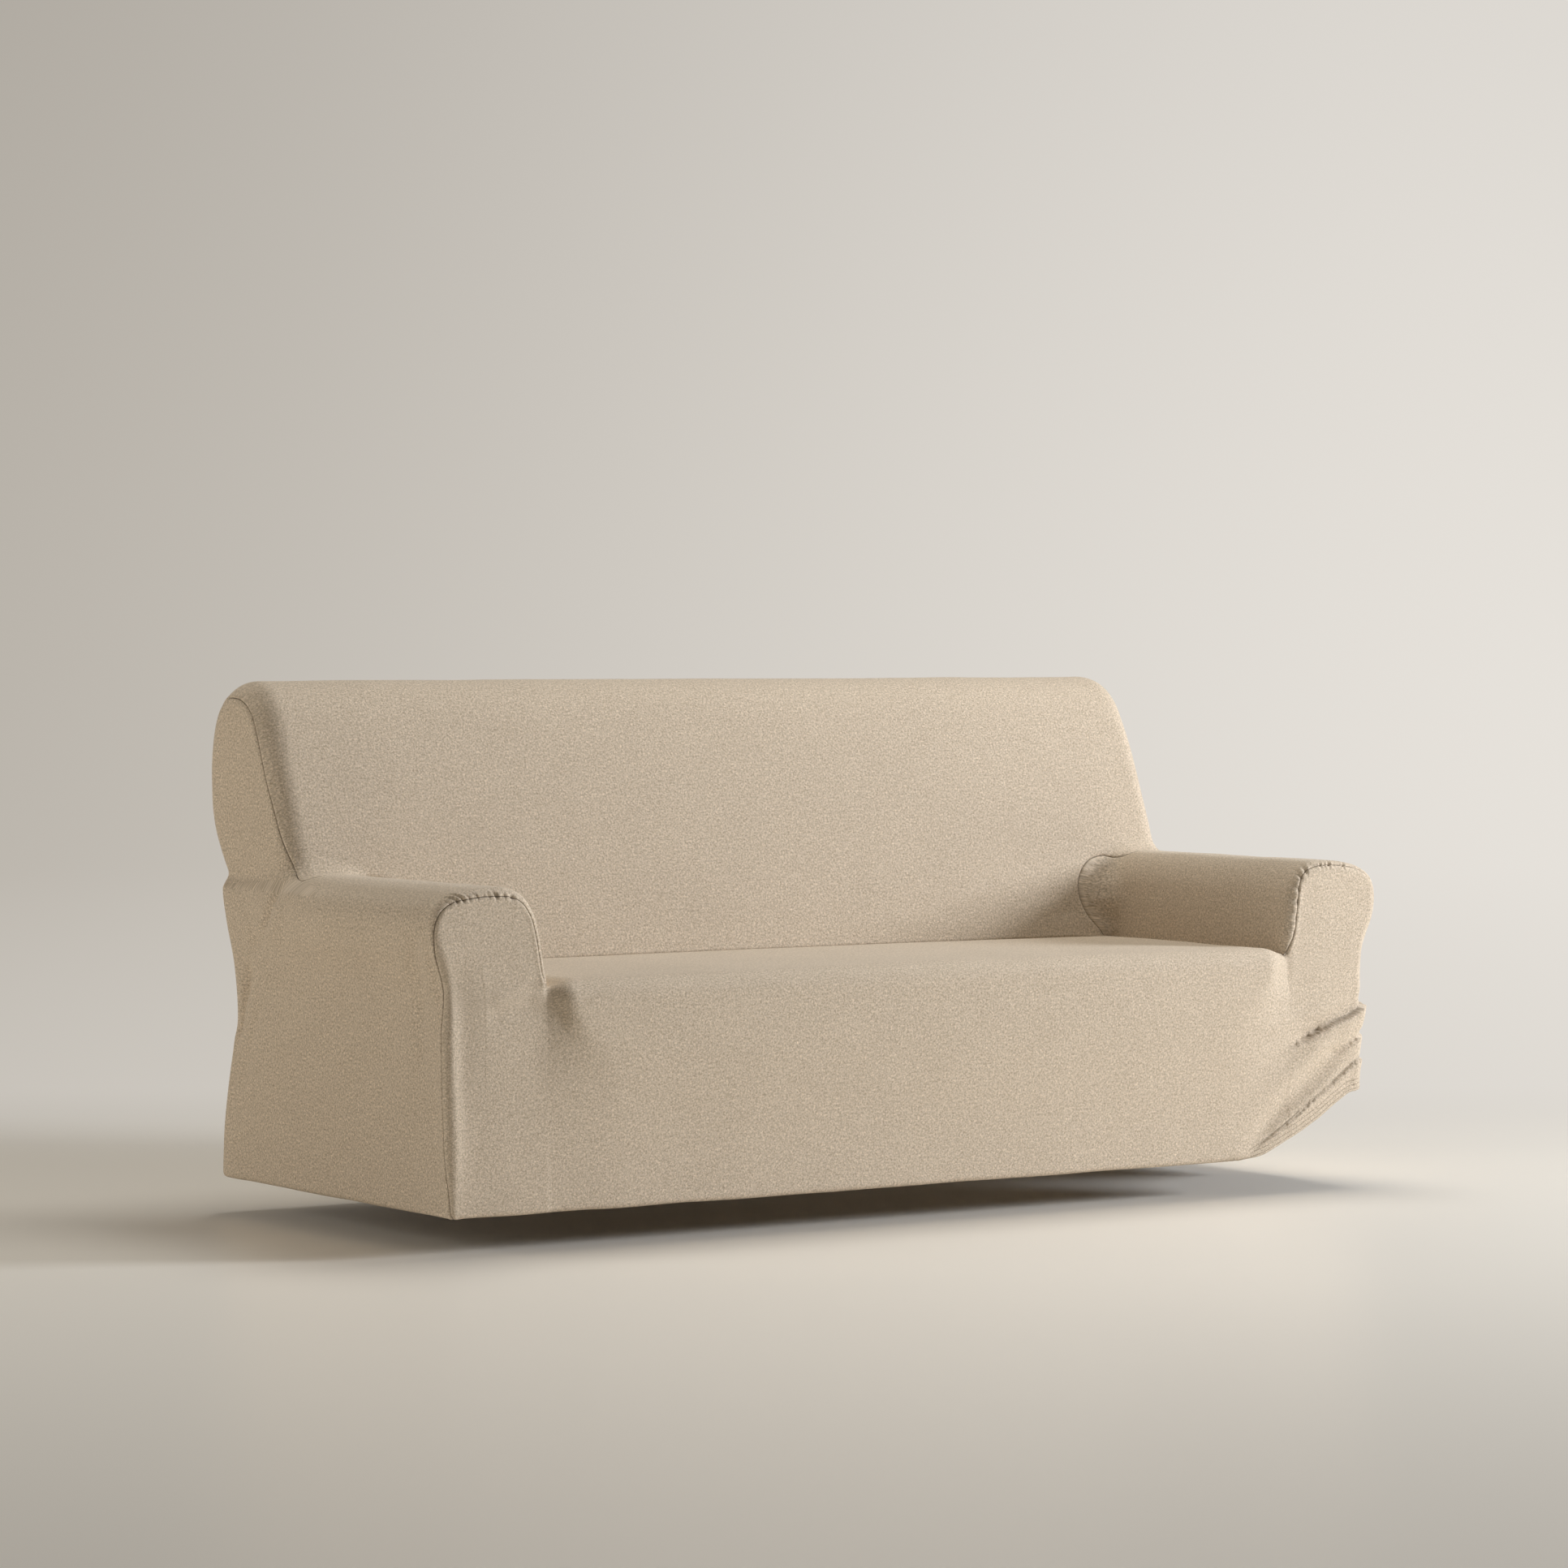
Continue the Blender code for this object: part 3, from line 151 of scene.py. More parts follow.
# ---------------------------------------------------------------- curves
def catmull(points, n):
    """smooth curve through points, n steps per span, little overshoot"""
    P = np.asarray(points, float)
    Q = np.vstack([2*P[0]-P[1], P, 2*P[-1]-P[-2]])
    t = (np.arange(n)/n)[:, None]
    out = []
    for i in range(1, len(Q)-2):
        p0, p1, p2, p3 = Q[i-1], Q[i], Q[i+1], Q[i+2]
        d0, d1, d2 = (max(np.linalg.norm(b-a), 1e-9) for a, b in ((p0, p1), (p1, p2), (p2, p3)))
        m1 = (p2-p1)*d0/(d0+d1)+(p1-p0)/d0*d1*d1/(d0+d1)
        m2 = (p3-p2)/d2*d1*d1/(d1+d2)+(p2-p1)*d2/(d1+d2)
        out.append((2*t**3-3*t**2+1)*p1+(t**3-2*t**2+t)*m1+(-2*t**3+3*t**2)*p2+(t**3-t**2)*m2)
    out.append(P[-1:])
    return np.vstack(out)


def run_length(path):
    return np.r_[0, np.cumsum(np.linalg.norm(np.diff(path, axis=0), axis=1))]


def at_fractions(path, fractions):
    d = run_length(path)
    f = np.asarray(fractions)*d[-1]
    return np.stack([np.interp(f, d, path[:, k]) for k in range(path.shape[1])], -1)


def split(stations, k):
    """every interval of a station list cut into k equal parts"""
    s = np.asarray(stations, float)
    return np.r_[np.stack([s[:-1]+(s[1:]-s[:-1])*i/k for i in range(k)], 1).ravel(), s[-1]]


def smooth(t):
    t = np.clip(t, 0, 1)
    return t*t*(3-2*t)


# ---------------------------------------------------------------- body under the cloth
def outline_distance(px, pz, outline):
    """signed distance to a closed outline, negative inside"""
    best = np.full(px.shape, 1e9)
    inside = np.zeros(px.shape, bool)
    for a, b in zip(outline, np.roll(outline, -1, axis=0)):
        e = b-a
        ll = e@e
        if ll < 1e-16:
            continue
        wx, wz = px-a[0], pz-a[1]
        t = np.clip((wx*e[0]+wz*e[1])/ll, 0, 1)
        best = np.minimum(best, (wx-t*e[0])**2+(wz-t*e[1])**2)
        if a[1] != b[1]:
            inside ^= ((a[1] > pz) != (b[1] > pz)) & (px < e[0]*(pz-a[1])/e[1]+a[0])
    d = np.sqrt(best)
    return np.where(inside, -d, d)


class Outline:
    """distance to an outline, worked out once on a 2 mm square net and blended"""

    def __init__(self, points, low, high, step=0.002):
        self.low, self.step = np.array(low), step
        n = np.ceil((np.array(high)-self.low)/step).astype(int)+1
        self.n = n
        X, Z = np.meshgrid(self.low[0]+np.arange(n[0])*step, self.low[1]+np.arange(n[1])*step, indexing="ij")
        self.v = outline_distance(X, Z, points)

    def __call__(self, x, z):
        u = np.clip((x-self.low[0])/self.step, 0, self.n[0]-1.001)
        w = np.clip((z-self.low[1])/self.step, 0, self.n[1]-1.001)
        i, j = u.astype(int), w.astype(int)
        fu, fw, v = u-i, w-j, self.v
        return (v[i, j]*(1-fu)+v[i+1, j]*fu)*(1-fw)+(v[i, j+1]*(1-fu)+v[i+1, j+1]*fu)*fw


ARM_CURVE = catmull(list(ARM_SECTION.values()), 5)
BACK_CURVE = catmull(list(BACK_SECTION.values()), 5)
ARM_SHAPE = Outline(ARM_CURVE, (-0.15, -0.10), (0.36, 0.72))
BACK_SHAPE = Outline(BACK_CURVE, (0.30, -0.10), (1.05, 1.05))
BACK_CREST = int(np.argmax(BACK_CURVE[:, 1]))
ARM_CREST = int(np.argmax(ARM_CURVE[:, 1]))


def rear_y(z):
    r = BACK_CURVE[BACK_CREST:][::-1]
    return np.interp(z, r[:, 1], r[:, 0])


def face_y(z):
    r = BACK_CURVE[:BACK_CREST+1]
    return np.interp(z, r[:, 1], r[:, 0])


def side_x(z):
    r = ARM_CURVE[:ARM_CREST+1]
    return np.interp(z, r[:, 1], r[:, 0])


def scroll_keep(y):
    """the scroll is full at the front and dies away towards the back's side"""
    return 1-0.85*smooth((y-0.36)/0.30)


def side_lean(y, z):
    """the rear of the side panel leans in to meet the back's side"""
    return WING_INSET*smooth((z-0.36)/0.19)*smooth((y-0.50)/0.14)


def cut_round(a, b, r):
    return np.minimum(-r, np.maximum(a, b))+np.sqrt(np.maximum(a+r, 0)**2+np.maximum(b+r, 0)**2)


def join_round(a, b, r):
    return np.maximum(r, np.minimum(a, b))-np.sqrt(np.maximum(r-a, 0)**2+np.maximum(r-b, 0)**2)


def arm_field(inboard, y, z):
    out = np.minimum(side_x(np.clip(z, 0, 0.507)), 0)
    w = smooth((0.06-inboard)/0.09)
    return ARM_SHAPE(inboard+(out*(1-scroll_keep(y))-side_lean(y, z))*w, z)


def seat_z(x, y):
    end = np.minimum(x, WIDTH-x)
    drop = SEAT_END_DROP*(1-smooth((end-0.180)/SEAT_END_WIDTH))**1.5
    rear = SEAT_REAR_DROP*(1-smooth((0.515-y)/0.07))
    crown = SEAT_CROWN*np.sin(np.pi*np.clip((end-0.18)/0.78, 0, 1)/2)
    return SEAT_LEVEL-drop-rear+crown


def nose_y(x, z):
    end = np.minimum(x, WIDTH-x)
    proud = NOSE_FOOT+(NOSE_PROUD-NOSE_FOOT)*smooth((z-0.06)/0.26)
    low = smooth((0.352-z)/0.150)
    return -proud*smooth((end-0.176+0.070*low)/(np.where(x < WIDTH/2, 0.048, 0.066)+0.170*low))


def nose_radius(x):
    end = np.minimum(x, WIDTH-x)
    return R_NOSE*(0.45+0.55*smooth((end-0.185)/0.06))


def field(P):
    """signed distance (near enough) to the outside of the cloth"""
    x, y, z = P[..., 0], P[..., 1], P[..., 2]
    arms = np.minimum(arm_field(x, y, z), arm_field(WIDTH-x, y, z))
    arms = cut_round(arms, -y, R_ARM_FRONT*(1-0.45*smooth((0.43-z)/0.08)*(x < 0.5)))
    recess = 0.006*(1-smooth((np.minimum(x, WIDTH-x)-0.02)/0.09))
    base = cut_round((nose_y(x, z)+recess-y)*0.99, z-seat_z(x, y), nose_radius(x))
    base = np.maximum(base, np.maximum(0.02-x, x-(WIDTH-0.02)))
    low = join_round(arms, base, R_CREASE)
    low = cut_round(low, (y-rear_y(np.clip(z, 0, 0.80)))*0.93, R_REAR)
    back = cut_round(BACK_SHAPE(y, z), np.abs(x-WIDTH/2)-(WIDTH/2-WING_INSET), R_BACK_SIDE+R_BACK_TOP_EXTRA*smooth((z-0.70)/0.12))
    r = R_ARM_BACK+(R_ARM_TOP_BACK-R_ARM_BACK)*smooth((z-0.47)/0.055)
    r = R_CREASE+(r-R_CREASE)*smooth((z-0.385)/0.07)*(1-smooth((y-0.62)/0.09))
    return cut_round(join_round(low, back, r), -z, R_BOTTOM)


def slope(P, h):
    g = np.zeros_like(P)
    for k in range(3):
        e = np.zeros(3)
        e[k] = h
        g[..., k] = (field(P+e)-field(P-e))/(2*h)
    return g


def snap(P, steps=6):
    """moves points onto the outside of the cloth"""
    P = np.array(P, float)
    for _ in range(steps):
        f, g = field(P), slope(P, 4e-4)
        P = P-np.clip(f/np.maximum((g*g).sum(-1), 0.25), -0.03, 0.03)[..., None]*g
    return P


def outward(P):
    g = slope(P, 1.5e-3)
    return g/np.maximum(np.linalg.norm(g, axis=-1, keepdims=True), 1e-9)


def fold_height(P):
    """how far the folds lift the cloth off its smooth shape"""
    h = np.zeros(P.shape[:-1])
    for name, kind, breadth, height, line in FOLDS:
        L = catmull(line, 4)
        near = np.full(h.shape, 1e9)
        up = np.zeros(h.shape)
        along = np.zeros(h.shape)
        d = run_length(L)
        for i in range(len(L)-1):
            a, e = L[i], L[i+1]-L[i]
            t = np.clip(((P-a)@e)/(e@e), 0, 1)
            v = P-a-t[..., None]*e
            q = np.sqrt((v*v).sum(-1))
            m = q < near
            near = np.where(m, q, near)
            up = np.where(m, v[..., 2], up)
            along = np.where(m, d[i]+t*(d[i+1]-d[i]), along)
        ends = smooth(along/(0.30*d[-1]))*smooth((d[-1]-along)/(0.22*d[-1]))
        if kind == "soft":
            h += height*np.exp(-(near/breadth)**2)*ends
        else:
            s = np.where(up > 0, near, -near)
            step = smooth(0.5-s/(0.16*breadth))
            body = np.where(s < 0, np.exp(-(s/breadth)**2), 1)
            dip = -0.35*np.exp(-((s-0.35*breadth)/(0.35*breadth))**2)*np.where(s > 0, 1, 0)
            h += height*(step*body+dip)*ends
    return h


# ---------------------------------------------------------------- arm outline, measured along the cloth
OUTLINE = ARM_CURVE[5:][:len(ARM_CURVE[5:])-next(i for i, p in enumerate(ARM_CURVE[::-1]) if p[1] > 0.370)]
OUTLINE_L = run_length(OUTLINE)
_t = np.gradient(OUTLINE, OUTLINE_L, axis=0)
OUTLINE_IN = np.stack([_t[:, 1], -_t[:, 0]], -1)/np.linalg.norm(_t, axis=1, keepdims=True)
L_SHOULDER = OUTLINE_L[np.argmin(np.linalg.norm(OUTLINE-ARM_SECTION["shoulder"], axis=1))]
L_INNER = OUTLINE_L[np.argmin(np.linalg.norm(OUTLINE-ARM_SECTION["inner shoulder"], axis=1))]
L_END = OUTLINE_L[-1]
HEM_TOP = HEM_STATIONS[-1]
LIFT_LENGTH = HEM_TURN+LIFT_TOP


def outline_at(l):
    return np.stack([np.interp(l, OUTLINE_L, OUTLINE[:, k]) for k in range(2)], -1)


def front_seam_line(l, side):
    """the arm-front seam, l metres up the arm's outline"""
    o = outline_at(l)
    n = np.stack([np.interp(l, OUTLINE_L, OUTLINE_IN[:, k]) for k in range(2)], -1)
    n /= np.linalg.norm(n, axis=-1, keepdims=True)
    b = np.interp(o[..., 1], FRONT_SEAM_SIDE[:, 0], FRONT_SEAM_SIDE[:, 1])
    over = FRONT_SEAM_OVER[side]
    b = np.where(l <= L_SHOULDER, b+(over[0, 1]+.0125)*smooth((o[..., 1]-0.42)/0.06), np.interp(l, over[:, 0], over[:, 1]))
    inset = np.maximum(-b, 0)
    return np.stack([o[..., 0]+inset*n[..., 0], np.maximum(b, 0), o[..., 1]+inset*n[..., 1]], -1)


def lift_front(x):
    """cloth length between the unlifted hem and the pulled-up one, along the front"""
    t = np.clip((x-LIFT_START)/(WIDTH-LIFT_START), 0, 1)
    return LIFT_LENGTH*np.interp(t, [0, .08, .20, .33, .45, .58, .70, .80, .90, 1], [0, .06, .235, .310, .425, .55, .69, .83, .95, 1])


def lift_side(y):
    t = np.clip(1-y/LIFT_DEPTH, 0, 1)
    return LIFT_LENGTH*(0.30*t+0.70*smooth(t))


def rear_side_x(z):
    return WING_INSET*smooth((z-0.36)/0.19)


def mirrored(P):
    return np.stack([WIDTH-P[..., 0], P[..., 1], P[..., 2]], -1)


def blend_patch(bottom, top, left, right):
    """patch between four lines; rows run bottom to top"""
    u0, u1, v0, v1 = (run_length(p)/max(run_length(p)[-1], 1e-9) for p in (bottom, top, left, right))
    r = np.linspace(0, 1, len(left))[:, None]
    c = np.linspace(0, 1, len(bottom))[None, :]
    U = (u0[None]*(1-r)+u1[None]*r)[..., None]
    V = (v0[:, None]*(1-c)+v1[:, None]*c)[..., None]
    return (1-V)*bottom[None]+V*top[None]+(1-U)*left[:, None]+U*right[:, None] \
        - ((1-U)*(1-V)*bottom[0]+U*(1-V)*bottom[-1]+(1-U)*V*top[0]+U*V*top[-1])


def relax(G, rounds):
    """evens out the inside of a patch; its edges stay"""
    for _ in range(rounds):
        v = (G[:-2, 1:-1]+G[2:, 1:-1])/2
        h = (G[1:-1, :-2]+G[1:-1, 2:])/2
        dr = np.linalg.norm(G[2:, 1:-1]-G[:-2, 1:-1], axis=-1, keepdims=True)
        dc = np.linalg.norm(G[1:-1, 2:]-G[1:-1, :-2], axis=-1, keepdims=True)
        w = dc**2/(dr**2+dc**2+1e-12)
        G[1:-1, 1:-1] = snap(0.5*G[1:-1, 1:-1]+0.5*(v*w+h*(1-w)), 1)
    return G


def refine(G, k):
    """smooth patch with every cell cut k by k"""
    n, m = G.shape[:2]
    G = catmull(G.reshape(n, -1), k).reshape(-1, m, 3).transpose(1, 0, 2)
    return catmull(G.reshape(m, -1), k).reshape(m*k-k+1, -1, 3).transpose(1, 0, 2)


def follow(name, G, fine, k):
    """a coarse patch cut finer, carried to the fine patch's edges and back onto the shape"""
    G = refine(G, k)
    for axis in (1, 0):
        G, E = (G, fine) if axis == 0 else (G.transpose(1, 0, 2), fine.transpose(1, 0, 2))
        w = np.clip(1-np.arange(len(G))/k, 0, 1)[:, None, None]
        G = G+w*(E[0]-G[0])[None]+w[::-1]*(E[-1]-G[-1])[None]
        G = G if axis == 0 else G.transpose(1, 0, 2)
    G[1:-1, 1:-1] = snap(G[1:-1, 1:-1])
    G[0], G[-1], G[:, 0], G[:, -1] = fine[0], fine[-1], fine[:, 0], fine[:, -1]
    return relax(G, 24 if "over" in name else 2)


class Net:
    """seam lines and panel patches of the whole cover; k cuts every cell k by k"""

    def __init__(self, k=1):
        self.k = k
        self.hem, self.low, self.over, self.depth, self.wing, self.rise, self.across = (
            split(s, k) for s in (HEM_STATIONS, SIDE_STATIONS, OVER_STATIONS, DEPTH_STATIONS, WING_STATIONS, RISE_STATIONS, WIDTH_STATIONS))
        self.nh, self.nl, self.no, self.nd, self.nw, self.nr, self.na = (
            len(s)-1 for s in (self.hem, self.low, self.over, self.depth, self.wing, self.rise, self.across))
        self.outline_rows = np.r_[(HEM_TOP-HEM_TURN)+(L_SHOULDER-HEM_TOP+HEM_TURN)*self.low]
        self.seams = {s: self.seam_lines(s) for s in ("left", "right")}
        self.cross_lines()
        self.patches = {}
        for s in ("left", "right"):
            self.patches.update(self.side_patches(s))
        self.patches.update(self.front_patches())
        self.patches.update(self.back_patches())
        if k > 1:
            for name, G in Net(1).patches.items():
                self.patches[name] = follow(name, G, self.patches[name], k)

    def hem_rows(self, lift):
        return lift+(HEM_TOP-lift)*self.hem/HEM_TOP

    def seam_lines(self, side):
        """front seam hem..seat, back seam seat..hem, seat crease, shoulder line"""
        place = mirrored if side == "right" else (lambda P: P)
        a = self.hem_rows(LIFT_LENGTH if side == "right" else 0.0)
        foot = front_seam_line(np.maximum(a-HEM_TURN, 0), side)
        under = np.maximum(HEM_TURN-a, 0)[:, None]
        foot = foot+under*np.array([1, 1, 0])
        foot[under[:, 0] > 0, 1] = under[under[:, 0] > 0, 0]
        L1 = self.outline_rows
        L2 = L_SHOULDER+(L_INNER-L_SHOULDER)*self.over
        L3 = L_INNER+(L_END-L_INNER)*self.low
        front = np.concatenate([foot]+[front_seam_line(l[1:], side) for l in (L1, L2, L3)])
        inner = at_fractions(catmull(ARM_BACK_SEAM, 8), np.r_[self.low*.42, .42+.58*self.over[1:]])
        wing = at_fractions(catmull(WING_FRONT_SEAM, 8), self.rise)
        top = at_fractions(catmull(WING_TOP_SEAM, 8), self.wing)
        z = np.linspace(WING_TOP_SEAM[-1, 2], ARM_SECTION["shoulder"][1], 60)
        corner = np.stack([rear_side_x(z), rear_y(z), z], -1)
        w = smooth((z[0]-z)/0.04)[:, None]
        corner = corner*w+(1-w)*(top[-1]+corner-corner[0])
        upper = at_fractions(corner, self.rise)
        z = outline_at(L1)[::-1, 1]
        lower = np.stack([rear_side_x(z), rear_y(z), z], -1)
        ah = self.hem[::-1]
        zh, uh = np.maximum(ah-HEM_TURN, 0), np.maximum(HEM_TURN-ah, 0)
        foot = np.stack([rear_side_x(zh)+uh, rear_y(zh)-uh, zh], -1)
        back = np.concatenate([inner, wing[1:], top[1:], upper[1:], lower[1:], foot[1:]])
        G, E = front[-1], inner[0]
        y = G[1]+(E[1]-G[1])*self.depth
        crease = np.stack([np.interp(y, [0, .05, .44, .518], [G[0], .1865, .1865, E[0]]), y, seat_z(np.full_like(y, .1865), y)], -1)
        t = smooth((y-G[1])/0.03)
        crease[:, 2] = G[2]*(1-t)+crease[:, 2]*t
        i0 = self.nh+self.nl
        K, B, S = inner[-1], upper[-1], front[i0]
        y = S[1]+(K[1]-S[1])*self.depth
        t = smooth((y-0.38)/(K[1]-0.38))
        q = outline_at(L_SHOULDER)
        shoulder = np.stack([q[0]*scroll_keep(y)*(1-t)+K[0]*t, y, q[1]*(1-t)+K[2]*t], -1)
        t = self.wing[:, None]
        shoulder = np.concatenate([shoulder, (K*(1-t)+B*t)[1:]])
        lines = {"front": front, "back": back, "crease": crease, "shoulder": shoulder}
        lines = {n: snap(place(P), 8) for n, P in lines.items()}
        nb = self.nl+self.no
        lines["crease"][0], lines["crease"][-1] = lines["front"][-1], lines["back"][0]
        lines["shoulder"][0] = lines["front"][i0]
        lines["shoulder"][self.nd] = lines["back"][nb]
        lines["shoulder"][-1] = lines["back"][nb+2*self.nr+self.nw]
        return lines

    def cross_lines(self):
        """the roll at the front of the seat and the crease between seat and back"""
        L, R = self.seams["left"], self.seams["right"]
        g0, g1, e0, e1 = L["front"][-1], R["front"][-1], L["back"][0], R["back"][0]
        x = g0[0]+(g1[0]-g0[0])*self.across
        k = nose_radius(x)*0.29
        z = seat_z(x, np.zeros_like(x))-k
        nose = np.stack([x, nose_y(x, z)+k, z], -1)
        w = smooth((np.minimum(x, WIDTH-x)-.186)/.03)[:, None]
        nose[:, 1:] = nose[:, 1:]*w+np.where((x < WIDTH/2)[:, None], g0, g1)[:, 1:]*(1-w)
        self.nose = snap(nose, 8)
        self.nose[0], self.nose[-1] = g0, g1
        x = e0[0]+(e1[0]-e0[0])*self.across
        z = seat_z(x, np.full_like(x, .515))
        self.crease = snap(np.stack([x, face_y(z), z], -1), 8)
        self.crease[0], self.crease[-1] = e0, e1

    def side_patches(self, side):
        place = mirrored if side == "right" else (lambda P: P)
        front, back, shoulder, crease = (place(self.seams[side][n]) for n in ("front", "back", "shoulder", "crease"))
        na, nb, nd, nw = self.nh+self.nl, self.nl+self.no, self.nd, self.nw
        rear = back[nb+2*self.nr+nw:][::-1]
        near = front[:na+1]
        K = shoulder[nd]
        A = np.zeros((na+1, nd+nw+1, 3))
        for j in range(nd+nw+1):
            if j <= nd:
                y = near[:, 1]*(1-self.depth[j])+K[1]*self.depth[j]
            else:
                y = K[1]*(1-self.wing[j-nd])+rear[:, 1]*self.wing[j-nd]
            lift = lift_side(y[0]) if side == "right" else 0.0
            a = np.r_[self.hem_rows(lift), self.outline_rows[1:]+HEM_TURN]
            o = outline_at(np.maximum(a-HEM_TURN, 0))
            x = o[:, 0]*np.where(o[:, 0] < 0, scroll_keep(y), 1)+side_lean(y, o[:, 1])+np.maximum(HEM_TURN-a, 0)
            A[:, j] = np.stack([x, y, o[:, 1]], -1)
        r = np.linspace(0, 1, na+1)[:, None, None]
        c = np.linspace(0, 1, nd+nw+1)[None, :, None]
        A = A+(near[:, None]-A[:, :1])*smooth(1-c/0.25)+(rear[:, None]-A[:, -1:])*smooth((c-0.75)/0.25)
        A = A+(shoulder[None]-A[-1:])*smooth((r-0.6)/0.4)
        A[:, 0], A[:, -1], A[-1] = near, rear, shoulder
        # over the arm and down its inner side
        lb, rb = front[na:], back[:nb+1][::-1]
        ob = outline_at(np.r_[L_SHOULDER+(L_INNER-L_SHOULDER)*self.over, (L_INNER+(L_END-L_INNER)*self.low)[1:]])
        dx = np.maximum(rb[:, 0]-ob[:, 0], 0)*smooth(np.linspace(-1.2, 1.6, nb+1))
        bend = np.clip(R_ARM_BACK, 1e-3, None)
        turn = np.arccos(1-np.clip(dx/bend, 0, 1))
        y1 = rb[:, 1]-bend*np.sin(turn)
        B = np.zeros((nb+1, nd+1, 3))
        for j in range(nd+1):
            c = self.depth[j]
            s = c*((y1-lb[:, 1])+bend*turn)
            over = np.maximum(s-(y1-lb[:, 1]), 0)
            th = over/bend
            y = lb[:, 1]+np.minimum(s, y1-lb[:, 1])+bend*np.sin(th)
            x = ob[:, 0]*np.where(ob[:, 0] < 0, scroll_keep(y), 1)+bend*(1-np.cos(th))
            B[:, j] = np.stack([x, y, ob[:, 1]], -1)
        c = self.depth[None, :, None]
        r = np.linspace(0, 1, nb+1)[:, None, None]
        B = B+(lb[:, None]-B[:, :1])*np.clip(1-c/0.03, 0, 1)+(rb[:, None]-B[:, -1:])*smooth((c-0.60)/0.40)
        B = B+(shoulder[:nd+1][None]-B[:1])*(1-smooth(r/0.25))+(crease[None]-B[-1:])*smooth((r-0.75)/0.25)
        B[:, 0], B[:, -1], B[0], B[-1] = lb, rb, shoulder[:nd+1], crease
        # side of the back
        bottom, top = shoulder[nd:], back[nb+self.nr:nb+self.nr+nw+1]
        left, right = back[nb:nb+self.nr+1], back[nb+self.nr+nw:nb+2*self.nr+nw+1][::-1]
        c, r = self.wing[None, :, None], self.rise[:, None, None]
        C = (1-c)*left[:, None]+c*right[:, None]
        C = C+(1-r)*(bottom-C[0])[None]+r*(top-C[-1])[None]
        C[:, 0], C[:, -1] = left, right
        out = {}
        for n, G, free in (("outer", A, True), ("over", B, False), ("wing", C, False)):
            G = place(G)
            G[1:-1, 1:-1] = snap(G[1:-1, 1:-1])
            if free:
                G[0, 1:-1] = snap(G[0, 1:-1])
            out[side+" "+n] = G
        return out

    def front_patches(self):
        L, R = self.seams["left"]["front"], self.seams["right"]["front"]
        nh, no, na, nd, nl = self.nh, self.no, self.na, self.nd, self.nl
        xl, xr = L[-1, 0], R[-1, 0]
        A = np.zeros((nh+1, 2*no+na+1, 3))
        for j in range(2*no+na+1):
            if j <= no:
                x = L[:nh+1, 0]*(1-self.over[j])+xl*self.over[j]
            elif j <= no+na:
                x = np.full(nh+1, xl+(xr-xl)*self.across[j-no])
            else:
                c = 1-self.over[::-1][j-no-na]
                x = xr*(1-c)+R[:nh+1, 0]*c
            a = self.hem_rows(lift_front(x[0]))
            z = np.maximum(a-HEM_TURN, 0)
            if no <= j <= no+na:
                z = z*self.nose[j-no, 2]/(HEM_TOP-HEM_TURN)
            A[:, j] = np.stack([x, nose_y(x, z)+np.maximum(HEM_TURN-a, 0), z], -1)
        c = self.over[:, None]
        level = {}
        for n, S in (("left", L), ("right", R)):
            P = S[nh]*(1-c)+S[-1]*c
            P[:, 1] = 0
            P = snap(P)
            P[0], P[-1] = S[nh], S[-1]
            level[n] = P
        top = np.concatenate([level["left"], self.nose[1:], level["right"][::-1][1:]])
        w = np.zeros(A.shape[1])
        w[:no+1] = 1-self.over
        v = w[::-1]
        r = (self.hem/HEM_TOP)[:, None, None]
        A = A+(L[:nh+1][:, None]-A[:, :1])*w[None, :, None]+(R[:nh+1][:, None]-A[:, -1:])*v[None, :, None]
        A = A+(top[None]-A[-1:])*smooth((r-0.4)/0.6)
        A[:, 0], A[:, -1], A[-1] = L[:nh+1], R[:nh+1], top
        A[1:-1, 1:-1] = snap(A[1:-1, 1:-1])
        A[0, 1:-1] = snap(A[0, 1:-1])
        # seat
        cl, cr = self.seams["left"]["crease"], self.seams["right"]["crease"]
        c, u = self.depth[:, None, None], self.across[None, :]
        B = self.nose[None]*(1-c)+self.crease[None]*c
        B[..., 0] = cl[:, :1]*(1-u)+cr[:, :1]*u
        B[1:-1, :, 2] = seat_z(B[1:-1, :, 0], B[1:-1, :, 1])
        B[:, 0], B[:, -1], B[0], B[-1] = cl, cr, self.nose, self.crease
        B[1:-1, 1:-1] = snap(B[1:-1, 1:-1])
        out = {"front lower": A, "front seat": B}
        for n, S in (("left", L), ("right", R)):
            C = blend_patch(level[n], S[nh+nl:nh+nl+no+1], S[nh:nh+nl+1], S[nh+nl+no:][::-1])
            C[1:-1, 1:-1] = snap(C[1:-1, 1:-1])
            out["front "+n+" arm"] = C
        return out

